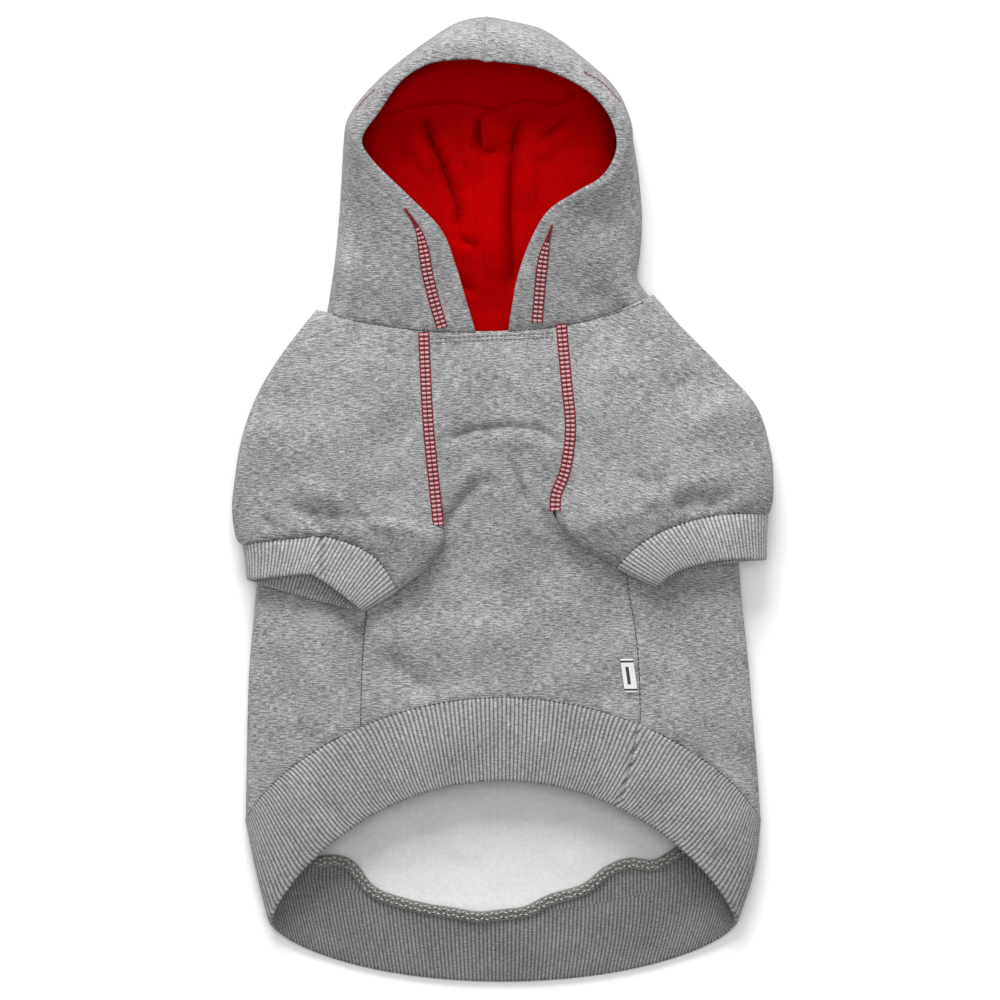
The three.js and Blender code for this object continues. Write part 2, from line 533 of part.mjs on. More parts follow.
// One half of the hood, drawn onto the neck edge over its first lines.
function hoodHalf(side) {
  const first = hoodLine(side, 0);
  const shift = neckLine(side).map((p, j) => p.sub(first[j]));
  return steps(STEPS.hood).map((u) => {
    const fade = 1 - smooth(u * HOOD_BLEND);
    return hoodLine(side, u).map((p, j) => p.addScaledVector(shift[j], fade));
  });
}

// The side label: a small woven tab, caught in the right side seam and lying on the belly panel.
function sideLabel() {
  const corner = new THREE.Vector2(0.477 * CHEST_HALF, -0.672 * BODY_LENGTH);
  const lean = THREE.MathUtils.degToRad(7);
  return steps(4).map((v) =>
    steps(2).map((u) => {
      const x = corner.x + u * LABEL_WIDTH * Math.cos(lean) + v * LABEL_LENGTH * Math.sin(lean);
      const y = corner.y + u * LABEL_WIDTH * Math.sin(lean) - v * LABEL_LENGTH * Math.cos(lean);
      const rest = torsoTop(x, y) + foldLift(CHEST_FOLDS, x, y);
      return new THREE.Vector3(x, y, rest + FLEECE_WALL / 2 + SEAM_GAP + LABEL_WALL / 2);
    }),
  );
}

// The lining's loose folds, on the part that lies on the back of the hood.
function liningFold(x, y, v, u) {
  return foldLift(LINING_FOLDS, x, y) * smooth((u - 0.55) * 6) * smooth(v * 4);
}

const fleece = new THREE.MeshStandardMaterial({ color: 0x9e9c9f, roughness: 0.95, metalness: 0 });
const rib = new THREE.MeshStandardMaterial({ color: 0x969496, roughness: 0.95, metalness: 0 });
const lining = new THREE.MeshStandardMaterial({ color: 0xa80a0c, roughness: 0.85, metalness: 0 });
const tape = new THREE.MeshStandardMaterial({ color: 0x55534f, roughness: 0.9, metalness: 0 });
const woven = new THREE.MeshStandardMaterial({ color: 0xe2e1e0, roughness: 0.7, metalness: 0 });

const garment = new THREE.Group();
function add(name, geometry, material) {
  const mesh = new THREE.Mesh(geometry, material);
  mesh.name = name;
  garment.add(mesh);
}

add("back_panel", cloth(backPanel(), FLEECE_WALL), fleece);
add("belly_panel", cloth(bellyPanel(), FLEECE_WALL), fleece);
add("hem_band", cloth(hemBand(), RIB_WALL, { closed: true }), rib);
add("hem_seam", cloth(hemTape(), TAPE_WALL, { closed: true, lift: TAPE_LIFT }), tape);
for (const side of ["left", "right"]) {
  add("sleeve_" + side, cloth(sleeve(side), FLEECE_WALL), fleece);
  add("cuff_" + side, cloth(cuff(side), RIB_WALL, { closed: true }), rib);
  const half = hoodHalf(side);
  const inward = (side === "left" ? 1 : -1) * (FLEECE_WALL / 2 + LINING_GAP + LINING_WALL / 2);
  add("hood_" + side, cloth(half, FLEECE_WALL, { crown: true }), fleece);
  const lined = { lift: inward, crown: true, extra: liningFold };
  add("hood_lining_" + side, cloth(half, LINING_WALL, lined), lining);
}
add("side_label", cloth(sideLabel(), LABEL_WALL), woven);

// The origin is under the middle of the garment, on the floor.
const box = new THREE.Box3().setFromObject(garment);
const middle = box.getCenter(new THREE.Vector3());
garment.position.set(-middle.x, -middle.y, -box.min.z);

const hoodie = new THREE.Group();
hoodie.add(garment);
export default hoodie;
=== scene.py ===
"""Looks of the dog hoodie: marled fleece, rib, red lining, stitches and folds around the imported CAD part."""

import math

import bpy
import numpy as np
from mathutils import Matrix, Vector
from mathutils.bvhtree import BVHTree


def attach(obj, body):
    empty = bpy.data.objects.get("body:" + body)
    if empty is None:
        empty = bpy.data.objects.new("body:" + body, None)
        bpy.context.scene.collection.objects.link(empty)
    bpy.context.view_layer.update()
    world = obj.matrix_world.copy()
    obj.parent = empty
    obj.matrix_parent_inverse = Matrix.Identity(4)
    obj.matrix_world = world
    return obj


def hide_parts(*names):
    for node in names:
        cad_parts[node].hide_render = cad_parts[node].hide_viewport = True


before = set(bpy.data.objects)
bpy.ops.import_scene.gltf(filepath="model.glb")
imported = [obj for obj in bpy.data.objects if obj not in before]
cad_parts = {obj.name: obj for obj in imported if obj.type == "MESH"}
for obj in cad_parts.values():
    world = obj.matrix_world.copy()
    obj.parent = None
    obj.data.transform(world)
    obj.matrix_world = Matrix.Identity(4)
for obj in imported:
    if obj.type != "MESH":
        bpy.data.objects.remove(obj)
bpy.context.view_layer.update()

# Sizes in millimetres, in the garment's own places: y = 0 at the neck line, the hem towards -y.
CHEST, LENGTH, HEIGHT, FOLD = 125.0, 244.0, 21.0, 6.5
HEM_RISE, HEM_DROP, RIB = 60.5, 47.0, 40.0
HOOD, HOOD_LENGTH, HOOD_HEIGHT, HOOD_SHIFT, HOOD_SEAM = 75.0, 157.5, 44.0, -6.0, -2.5
SLEEVE_HEIGHT = 38.0
FLEECE_WALL, RIB_WALL, LINING_WALL = 2.0, 2.4, 1.0
LAY_GAP = 1.4
MIDDLE = np.array([-0.42, 83.05, 0.0])  # from the garment's places to the row frame
RIB_PITCH = 1.85
FOLD_DEPTH = 1.55
NECK = -0.05  # where the torso's rows start, as a share of LENGTH down from the neck line
SLEEVE_FOLD = FOLD * 2.1  # height of a sleeve's outer fold
STRIP = 9  # points of the strip that closes a sleeve's tube under its inner edge
FACE_MIDDLE = np.array([HOOD_SHIFT, 70.0])
COVER_HALF = 2.4
FLOOR_SIZE, FLOOR_Z = 6.0, -0.0006  # in metres


def table(names, *rows):
    """Rows of numbers as columns by name."""
    return {n: np.array([r[i] for r in rows], float) for i, n in enumerate(names.split())}


TORSO = table(
    "down left right rise drop height tilt",
    (-0.05, 0.69, 0.585, -0.22, 0.37, 1.0, 0.027),
    (0.05, 0.79, 0.7, -0.12, 0.37, 1.1, 0.02),
    (0.15, 0.89, 0.82, -0.04, 0.36, 1.25, 0.01),
    (0.25, 0.935, 0.9, 0, 0.36, 1.3, 0),
    (0.35, 0.955, 0.925, 0, 0.37, 1.2, 0),
    (0.45, 0.96, 0.935, 0.03, 0.4, 0.95, 0),
    (0.57, 0.98, 0.953, 0.15, 0.5, 0.9, 0),
    (0.68, 1.0, 0.976, 0.4, 0.6, 0.95, 0),
    (0.78, 1.008, 0.992, 0.65, 0.75, 1.0, 0),
    (0.89, 1.012, 1.01, 0.85, 0.9, 1.0, 0),
    (1.0, 1.016, 1.024, 1, 1, 1.0, 0),
)
HEM = table(
    "along left right side front back height",
    (0, 1.016, 1.024, 0, 0, 0, 1.0),
    (0.5, 0.975, 1.0, 0.62, 0.5, 0.42, 1.06),
    (1, 0.925, 0.936, 1.25, 1.01, 0.84, 1.0),
)
BELLY_EDGE = table(
    "down left right",
    (-0.05, 0.315, 0.24),
    (0.1, 0.3, 0.255),
    (0.2, 0.28, 0.27),
    (0.3, 0.26, 0.228),
    (0.385, 0.238, 0.212),
    (0.44, 0.3, 0.39),
    (0.5, 0.45, 0.485),
    (0.575, 0.525, 0.507),
    (0.7, 0.545, 0.53),
    (0.85, 0.557, 0.545),
    (1.0, 0.562, 0.55),
)
BACK_EDGE = table(
    "down left right",
    (-0.05, 0.63, 0.52),
    (0.05, 0.71, 0.62),
    (0.15, 0.8, 0.73),
    (0.25, 0.855, 0.82),
    (0.34, 0.855, 0.82),
    (0.4, 0.72, 0.68),
    (0.44, 0.4, 0.42),
    (0.5, 0.453, 0.488),
    (0.575, 0.528, 0.51),
    (0.7, 0.548, 0.533),
    (0.85, 0.56, 0.548),
    (1.0, 0.565, 0.553),
)
SLEEVE_NAMES = "inX inDown outX outDown endX endDown bow under peak closed"
SLEEVES = {
    -1: table(
        SLEEVE_NAMES,
        (0.317, 0.006, 0.735, -0.035, 0.64, -0.03, -0.006, 0, 0.66, 0),
        (0.306, 0.09, 0.855, 0.04, 0.72, 0.05, 0, 0, 0.78, 0),
        (0.29, 0.17, 0.965, 0.13, 0.8, 0.14, 0, 0, 0.9, 0),
        (0.274, 0.25, 1.03, 0.22, 0.855, 0.24, 0, 0, 0.98, 0),
        (0.256, 0.33, 1.06, 0.31, 0.855, 0.33, 0, 0, 1.0, 0),
        (0.243, 0.39, 1.07, 0.365, 0.72, 0.4, 0.005, 0, 1.02, 0.5),
        (0.24, 0.44, 1.063, 0.405, 0.4, 0.44, 0.03, 0.005, 1.03, 1),
        (0.315, 0.49, 1.05, 0.43, 0.33, 0.49, 0.054, 0.012, 0.98, 1),
        (0.42, 0.53, 1.025, 0.438, 0.425, 0.53, 0.066, 0.02, 0.9, 1),
    ),
    1: table(
        SLEEVE_NAMES,
        (0.243, -0.004, 0.6, -0.058, 0.53, -0.05, -0.006, 0, 0.66, 0),
        (0.256, 0.08, 0.735, 0.01, 0.62, 0.04, 0, 0, 0.78, 0),
        (0.269, 0.16, 0.87, 0.08, 0.73, 0.12, 0, 0, 0.9, 0),
        (0.268, 0.24, 1.01, 0.16, 0.82, 0.22, 0, 0, 0.98, 0),
        (0.232, 0.32, 1.065, 0.25, 0.82, 0.32, 0, 0, 1.0, 0),
        (0.219, 0.375, 1.076, 0.31, 0.68, 0.4, 0.005, 0, 1.02, 0.5),
        (0.27, 0.42, 1.075, 0.345, 0.4, 0.44, 0.022, 0.01, 1.02, 1),
        (0.36, 0.455, 1.067, 0.365, 0.37, 0.458, 0.034, 0.02, 0.96, 1),
        (0.465, 0.483, 1.053, 0.379, 0.47, 0.484, 0.042, 0.03, 0.88, 1),
    ),
}
CUFF_NAMES = "inX inDown outX outDown bow under peak"
CUFFS = {
    -1: table(
        CUFF_NAMES,
        (0.42, 0.531, 1.025, 0.439, 0.066, 0.02, 0.9),
        (0.484, 0.55, 1.015, 0.472, 0.058, 0.01, 0.86),
        (0.552, 0.571, 1.01, 0.508, 0.047, -0.004, 0.84),
    ),
    1: table(
        CUFF_NAMES,
        (0.465, 0.484, 1.053, 0.38, 0.042, 0.03, 0.88),
        (0.545, 0.505, 1.048, 0.42, 0.034, 0.026, 0.86),
        (0.614, 0.52, 1.046, 0.467, 0.024, 0.014, 0.82),
    ),
}
HOOD_NAMES = "rimX rimY outX outY backY lift"
HOODS = {
    -1: table(
        HOOD_NAMES,
        (0.107, 0.0, 1.067, 0.064, -0.03, 0.5),
        (0.175, 0.105, 1.035, 0.16, 0.07, 0.6),
        (0.24, 0.205, 1.01, 0.255, 0.2, 0.68),
        (0.335, 0.312, 0.99, 0.365, 0.34, 0.76),
        (0.545, 0.415, 0.975, 0.475, 0.44, 0.84),
        (0.78, 0.525, 0.962, 0.585, 0.53, 0.92),
        (0.858, 0.6, 0.935, 0.665, 0.61, 0.97),
        (0.735, 0.692, 0.82, 0.745, 0.68, 1.0),
        (0.59, 0.787, 0.645, 0.825, 0.74, 1.0),
        (0.41, 0.84, 0.43, 0.903, 0.78, 0.98),
        (0.225, 0.854, 0.225, 0.965, 0.81, 0.95),
        (0, 0.857, 0, 1.0, 0.83, 0.93),
    ),
    1: table(
        HOOD_NAMES,
        (0.133, 0.006, 1.06, 0.098, -0.03, 0.5),
        (0.16, 0.086, 0.973, 0.16, 0.07, 0.6),
        (0.193, 0.165, 0.987, 0.24, 0.2, 0.68),
        (0.267, 0.264, 1.0, 0.343, 0.34, 0.76),
        (0.387, 0.365, 0.987, 0.445, 0.44, 0.84),
        (0.567, 0.425, 0.967, 0.525, 0.53, 0.9),
        (0.753, 0.479, 0.94, 0.6, 0.61, 0.95),
        (0.85, 0.57, 0.92, 0.667, 0.68, 0.99),
        (0.8, 0.673, 0.833, 0.756, 0.74, 1.0),
        (0.63, 0.762, 0.667, 0.835, 0.78, 1.0),
        (0.333, 0.828, 0.36, 0.943, 0.81, 0.97),
        (0, 0.857, 0, 1.0, 0.83, 0.93),
    ),
}
TOP_ROUND, SLEEVE_ROUND, HEM_CURVE, BACK_CURVE = 3.5, 2.6, 0.75, 0.63
FLOOR_FLAT, FLOOR_ROUND = 0.68, 2.2


def clamp(t):
    return np.clip(t, 0.0, 1.0)


def mix(a, b, t):
    return a + (b - a) * t


def smooth(t):
    t = clamp(t)
    return t * t * (3 - 2 * t)


def dome(s, power):
    return (1 - clamp(np.abs(s)) ** power) ** (1 / power)


def unit(v):
    """The vectors at length 1."""
    return v / np.maximum(np.linalg.norm(v, axis=-1, keepdims=True), 1e-9)


def travelled(points, axis=0):
    """Distance from the start along an axis of a line or grid of points."""
    step = np.linalg.norm(np.diff(points, axis=axis), axis=-1)
    return np.concatenate([np.zeros_like(np.take(step, [0], axis)), np.cumsum(step, axis)], axis)


def taken(line, length, at):
    """Points at the distances at on a line; length is the distance of each of its own points."""
    return np.stack([np.interp(at, length, values) for values in line.T], -1)


def evened(values, count):
    """A running mean over count values."""
    return np.convolve(np.pad(values, count // 2, mode="edge"), np.ones(count) / count, mode="valid")


def sideways(path):
    """Unit vectors to the left of a path in the plan."""
    d = unit(np.gradient(path, axis=0))
    return np.stack([-d[:, 1], d[:, 0]], -1)


def leaned(u, w, degrees):
    """The places u, w turned by an angle."""
    c, s = math.cos(math.radians(degrees)), math.sin(math.radians(degrees))
    return np.stack([u * c + w * s, w * c - u * s], -1)


def column(tab, name, t):
    """A column of a table at t, which counts rows, on a smooth curve through them."""
    v = tab[name]
    last = len(v) - 1
    at = np.clip(np.asarray(t, float), 0, last)
    i = np.minimum(last - 1, np.floor(at)).astype(int)
    a, b, c, d = (v[np.clip(i + k, 0, last)] for k in (-1, 0, 1, 2))
    f = at - i
    return b + 0.5 * f * (c - a + f * (2 * a - 5 * b + 4 * c - d + f * (3 * (b - c) + d - a)))


def row_at(tab, t):
    return {n: column(tab, n, t) for n in tab}


def row_of(tab, value):
    v = tab["down"]
    return np.interp(value, v, np.arange(len(v)))


def torso_row(down):
    return row_at(TORSO, row_of(TORSO, down))


def edge_at(tab, down, side):
    return side * CHEST * column(tab, "left" if side < 0 else "right", row_of(tab, down))


def floor_height(s, wall):
    turn = (np.abs(s) - FLOOR_FLAT) / (1 - FLOOR_FLAT)
    return FOLD - (FOLD - wall / 2) * dome(np.maximum(0, turn), FLOOR_ROUND)


def torso_point(row, side_y, s, side, wall=FLEECE_WALL):
    """Points on the torso's tube; s is from -1 at the left fold to 1 at the right one."""
    half = np.where(s < 0, row["left"], row["right"]) * CHEST
    bulge = clamp(1 - s * s)
    rise = row["rise"] * HEM_RISE * bulge**HEM_CURVE
    drop = -row["drop"] * HEM_DROP * bulge**BACK_CURVE
    top = FOLD + (row["height"] * HEIGHT - FOLD) * dome(s, TOP_ROUND)
    z = np.where(side > 0, top, floor_height(s, wall))
    y = side_y + np.where(side > 0, rise, drop) + row["tilt"] * CHEST * s
    return np.stack([s * half, y + 0 * s, z], -1)


def share_of(x, row):
    return x / (np.where(x < 0, row["left"], row["right"]) * CHEST)


def torso_down(x, y):
    """How far down the torso's own rows the point x, y of the belly side lies, found in a few rounds."""
    down = -y / LENGTH
    for _ in range(6):
        row = torso_row(down)
        s = clamp(np.abs(share_of(x, row)))
        rise = row["rise"] * HEM_RISE * (1 - s * s) ** HEM_CURVE
        down = -(y - rise - row["tilt"] * CHEST * np.sign(x) * s) / LENGTH
    return down


def torso_top(x, y):
    row = torso_row(torso_down(x, y))
    return FOLD + (row["height"] * HEIGHT - FOLD) * dome(share_of(x, row), TOP_ROUND)


# ---- folds ----


def ridge(x, y, points, height, width, ends=0.35):
    """A soft ridge, or a valley where height is negative, along a line of points; it fades at both ends."""
    pts = np.array(points, float)
    lengths = np.hypot(*np.diff(pts, axis=0).T)
    total = lengths.sum()
    best = np.full(np.shape(x), 1e9)
    where = np.zeros(np.shape(x))
    start = 0.0
    for (a, b), size in zip(zip(pts[:-1], pts[1:]), lengths):
        d = (b - a) / size
        t = np.clip((x - a[0]) * d[0] + (y - a[1]) * d[1], 0, size)
        gap = np.hypot(x - a[0] - t * d[0], y - a[1] - t * d[1])
        near = gap < best
        best = np.where(near, gap, best)
        where = np.where(near, (start + t) / total, where)
        start += size
    fade = smooth(where / ends) * smooth((1 - where) / ends)
    return height * np.exp(-((best / width) ** 2)) * fade


def ridges(x, y, folds):
    return FOLD_DEPTH * sum(ridge(x, y, *f) for f in folds)


def ripple(x, y, size, seed, octaves=3):
    """Smooth made-up unevenness, between about -1 and 1, from a few seeded waves."""
    rng = np.random.default_rng(seed)
    out = np.zeros(np.shape(x))
    for o in range(octaves):
        for _ in range(5):
            angle = rng.uniform(0, 2 * math.pi)
            wave = size / 1.8**o * rng.uniform(0.8, 1.3)
            phase = rng.uniform(0, 2 * math.pi)
            c, s = math.cos(angle), math.sin(angle)
            bend = 0.6 * np.sin((x * s - y * c) / wave * 2.1 + phase * 1.7)
            out += np.sin((x * c + y * s) / wave * 2 * math.pi + phase + bend) / 1.6**o
    return out / 6


# Folds on the belly side: points, height and width in mm, and the share that each end fades over.
CHEST_FOLDS = [
    ([(-36, -58), (-14, -50.5), (4, -48.5), (18, -50), (34, -60)], -2.2, 2.6, 0.25),
    ([(-14, -59), (6, -54.5), (22, -60)], 1.2, 5.0),
    ([(-32, -101), (-22, -88), (-14, -78), (-8, -73)], -2.5, 3.0, 0.2),
    ([(-27, -84), (-15, -70), (-6, -68), (2, -72)], 1.1, 4.5),
    ([(-10, -74), (-4, -76), (1, -81)], -1.1, 2.4),
    ([(4, -62), (8, -74), (12, -86), (15, -93)], -2.0, 2.3),
    ([(9, -68), (16, -82), (21, -92)], 0.9, 2.6),
    ([(13, -75), (19, -88), (23, -97), (31, -108)], -1.5, 2.4),
    ([(24, -98), (36, -112), (46, -121)], -1.2, 3.2),
    ([(-10, -92), (-6, -112), (-2, -130)], 1.8, 15.0),
    ([(24, -118), (36, -127), (48, -124)], 0.8, 7.0),
    ([(-62, -158), (-52, -168), (-42, -177), (-26, -183)], -1.9, 5.0),
    ([(-66, -146), (-58, -152), (-46, -160)], 1.1, 5.0),
    ([(20, -144), (40, -138), (54, -144)], 0.7, 8.0),
    ([(28, -184), (48, -180), (62, -186)], -0.6, 5.0),
]
BACK_WRAP_FOLDS = [
    ([(-92, -126), (-80, -138), (-72, -148), (-66, -160)], -2.6, 5.0),
    ([(-118, -150), (-98, -166), (-84, -184)], 1.2, 7.0),
    ([(-98, -190), (-88, -200), (-78, -206)], 1.3, 3.0),
    ([(-106, -196), (-92, -208)], -1.0, 3.0),
    ([(98, -130), (108, -160), (104, -190)], 0.9, 9.0),
    ([(76, -140), (82, -170), (90, -200)], -0.7, 7.0),
]
SLEEVE_FOLDS = [
    ([(-112, -84), (-98, -92), (-84, -94), (-70, -98)], -2.6, 4.6),
    ([(-104, -74), (-90, -82), (-72, -86)], 1.6, 5.0),
    ([(-78, -90), (-66, -98), (-56, -108)], -2.2, 4.0),
    ([(-118, -92), (-112, -102)], -1.6, 2.6),
    ([(-94, -94), (-88, -101)], -1.6, 2.4),
    ([(-64, -66), (-60, -80), (-56, -96)], 1.2, 7.0),
    ([(-96, -30), (-84, -50), (-78, -70)], -0.9, 12.0),
    ([(122, -80), (106, -86), (90, -86), (76, -92)], -2.4, 4.4),
    ([(118, -70), (98, -76), (80, -78)], 1.6, 5.5),
    ([(60, -70), (72, -78), (84, -74)], -1.8, 4.5),
    ([(92, -84), (88, -92)], -1.6, 2.4),
    ([(106, -84), (102, -91)], -1.4, 2.2),
    ([(78, -86), (72, -94)], -1.4, 2.4),
    ([(92, -18), (96, -32), (104, -44)], -2.0, 9.0),
    ([(44, -84), (50, -98), (58, -108)], 1.2, 5.0),
]
HOOD_FOLDS = [
    ([(40, 62), (50, 56), (62, 50)], -2.2, 6.0),
    ([(44, 72), (56, 70), (66, 66)], 1.2, 5.0),
    ([(-70, 30), (-52, 22), (-34, 14)], 0.9, 9.0),
    ([(-78, 74), (-70, 60), (-64, 44)], -0.8, 7.0),
    ([(44, 24), (56, 12), (66, 4)], -1.0, 6.0),
]
LINING_FOLDS = [
    (
        [(-39, 112), (-38, 101), (-34, 91), (-31, 86), (-28, 77), (-25, 68), (-22, 60), (-22, 46)],
        -3.4, 2.4, 0.15,
    ),
    ([(-44, 108), (-42, 94), (-38, 84), (-33, 74)], 2.4, 3.4),
    ([(-32, 108), (-29, 94), (-24, 80), (-20, 68)], 2.2, 3.2),
    ([(-52, 98), (-50, 88), (-48, 76)], -1.8, 2.6),
    ([(-11.5, 110), (-12.5, 96), (-11, 91), (-7, 88), (-3, 89), (0, 96)], -3.6, 2.2, 0.2),
    ([(-17, 108), (-17, 92), (-15, 82), (-9, 79)], 2.4, 3.0),
    ([(-5.5, 110), (-6, 100), (-6, 95)], 1.6, 2.6),
    ([(10, 113), (7, 100), (5, 87), (4, 74), (3.5, 55), (5, 37), (6, 14)], -4.2, 2.8, 0.15),
    ([(17, 110), (14, 94), (12, 74), (11, 56)], 2.8, 4.6),
    ([(-2, 84), (-3, 66), (-4, 44), (-2, 24)], 2.2, 4.0),
    ([(36, 110), (27, 101), (19, 92)], -2.2, 2.6),
    ([(34, 102), (24, 92), (17, 84)], 2.0, 3.4),
    ([(-24, 46), (-18, 44.5), (-11, 39)], -2.0, 1.8),
    ([(-14, 72), (-16, 56), (-18, 34)], 1.6, 4.0),
    ([(-28, 30), (-20, 22), (-12, 18)], -1.6, 2.6),
]
# Where the lining's top part folds over the rest, as points x, y.
CROWN_CREASE = np.array(
    [
        (-75, 100), (-61, 108), (-46, 112.5), (-36, 114.5), (-23.5, 115), (-13.5, 113.8), (-7.5, 112),
        (-2.5, 112), (2.5, 114.5), (14, 116.3), (24, 113.8), (29, 114.5), (34, 119), (42, 121), (60, 112),
    ]
)


def chest_lift(x, y):
    return ridges(x, y, CHEST_FOLDS) + 0.35 * ripple(x, y, 34, 3)


# ---- meshes ----


def grid_normals(grid, closed):
    across = np.roll(grid, -1, 1) - np.roll(grid, 1, 1) if closed else np.gradient(grid, axis=1)
    return unit(np.cross(across, np.gradient(grid, axis=0)))


def arc(grid, axis):
    """Distance along an axis of the grid from its middle line."""
    total = travelled(grid, axis)
    return total - np.take(total, [total.shape[axis] // 2], axis)


def level_arc(grid):
    """Distance along each row from its middle, without moves up and down the garment."""
    return arc(grid * np.array([1, 0, 1]), 1)


def placed(name, data):
    """A new object of the scene."""
    ob = bpy.data.objects.new(name, data)
    bpy.context.scene.collection.objects.link(ob)
    return ob


def mesh_of(name, points, faces, mats):
    """A smooth closed mesh that faces outwards; its points are in the garment's places."""
    mesh = bpy.data.meshes.new(name)
    mesh.from_pydata(((points + MIDDLE) / 1000).tolist(), [], faces)
    for m in mats:
        mesh.materials.append(m)
    mesh.polygons.foreach_set("use_smooth", np.ones(len(mesh.polygons), bool))
    mesh.update()
    if signed_volume(mesh) < 0:
        mesh.flip_normals()
    return mesh


def shell(name, grid, uv, mats, wall=FLEECE_WALL, closed=False, lift=0.0, rounded=(False, False), relief=0.0):
    """A wall of cloth on a grid of points. mats are the outer and the inner cloth's materials,
    rounded is for the first and the last row, and relief adds height to the outer face."""
    rows, cols = grid.shape[:2]
    n = grid_normals(grid, closed)
    z = grid[..., 2]
    up = n[..., 2] * (z - z.mean()) if closed else n[rows // 4, : max(2, cols // 8), 2]
    if up.mean() < 0:
        n = -n
    outer = grid + n * (lift + wall / 2 + relief)
    inner = grid + n * (lift - wall / 2)

    def rim(first, second, edge, steps=4):
        """Rows round an edge of the grid from the first face to the second."""
        line = grid[edge]
        tangent = unit(np.roll(line, -1, 0) - np.roll(line, 1, 0) if closed else np.gradient(line, axis=0))
        away = line - grid[1 if edge == 0 else -2]
        away = unit(away - (away * tangent).sum(1, keepdims=True) * tangent)
        turns = [math.pi * k / steps for k in range(1, steps)]
        middle, half = (first + second) / 2, (first - second) / 2
        return [middle + half * math.cos(a) + away * wall / 2 * math.sin(a) for a in turns]

    low = rim(inner[0], outer[0], 0) if rounded[0] else []
    high = rim(outer[-1], inner[-1], -1) if rounded[1] else []
    ring = [*outer, *high, *inner[::-1], *low]
    loops = len(ring)
    i, j = np.meshgrid(np.arange(loops), np.arange(cols if closed else cols - 1), indexing="ij")
    after, beside = (i + 1) % loops * cols, (j + 1) % cols
    faces = np.stack([i * cols + j, i * cols + beside, after + beside, after + j], -1).reshape(-1, 4).tolist()
    inside = rows - 1 + len(high)
    mat_index = ((i >= inside) & (i < inside + rows)).ravel()
    if not closed:
        # the two side edges: strips between the outer and inner rows, and one face in each rounded end
        last = inside + rows
        strips = [[k, k + 1, last - k - 1, last - k] for k in range(rows - 1)]
        strips += [list(range(rows - 1, inside + 2))] if high else []
        strips += [list(range(last, loops)) + [0]] if low else []
        faces += [[k * cols for k in f] for f in strips]
        faces += [[k * cols + cols - 1 for k in reversed(f)] for f in strips]
        mat_index = np.concatenate([mat_index, np.zeros(2 * len(strips), bool)])
    mesh = mesh_of(name, np.concatenate(ring), faces, mats)
    mesh.polygons.foreach_set("material_index", mat_index.astype(np.int32))
    flat_uv = np.concatenate([*uv, *[uv[-1]] * len(high), *uv[::-1], *[uv[0]] * len(low)]) / 1000
    loop_index = np.zeros(len(mesh.loops), int)
    mesh.loops.foreach_get("vertex_index", loop_index)
    layer = mesh.uv_layers.new(name="cloth")
    layer.data.foreach_set("uv", flat_uv[loop_index].astype(np.float32).ravel())
    mesh.update()
    mesh.set_sharp_from_angle(angle=math.radians(62))
    return placed(name, mesh)


def signed_volume(mesh):
    mesh.calc_loop_triangles()
    co = np.zeros(len(mesh.vertices) * 3)
    mesh.vertices.foreach_get("co", co)
    tri = np.zeros(len(mesh.loop_triangles) * 3, int)
    mesh.loop_triangles.foreach_get("vertices", tri)
    a, b, c = co.reshape(-1, 3)[tri.reshape(-1, 3).T]
    return float((a * np.cross(b, c)).sum())


def seam_groove(gap, depth=0.9, width=1.5):
    return -depth * np.exp(-((gap / width) ** 2))


def pucker(along, gap, pitch, height, reach, seed=0):
    """Small gathers along a seam, which fade away from it."""
    wander = 0.9 * np.sin(along / 23.0 + seed) + 0.7 * np.sin(along / 11.0 + 2 * seed)
    size = 0.65 + 0.35 * np.sin(along / 17.0 + 3 * seed)
    return height * size * np.sin(2 * math.pi * along / pitch + wander) * np.exp(-np.maximum(gap, 0) / reach)


def steps(n):
    return np.linspace(0.0, 1.0, max(3, int(n * (1))))


# ---- body ----


def belly_grid():
    down = mix(NECK, 1.0, steps(150))[:, None]
    row = torso_row(down)
    left, right = (share_of(edge_at(BELLY_EDGE, down, side), row) for side in (-1, 1))
    t = steps(100)[None, :]
    s = mix(left, right, t)
    g = torso_point(row, -down * LENGTH, s, 1)
    x, y = g[..., 0], g[..., 1]
    wide = (right - left) * CHEST
    to_side = np.minimum(t, 1 - t) * wide
    to_hem, to_neck = (1 - down) * LENGTH, (down - NECK) * LENGTH
    depth = mix(0.35, 1.0, smooth((down - 0.4) * 12))
    lift = chest_lift(x, y) + seam_groove(to_side, 1.0) * depth + seam_groove(to_hem)
    lift += seam_groove(to_neck, 0.8) + pucker(x, to_hem, 11, 0.28, 7, 1)
    g[..., 2] += lift + pucker(x, to_neck, 9, 0.15, 5, 2) + pucker(y, to_side, 10, 0.16, 4, 4)
    return g, np.stack([x, y], -1)


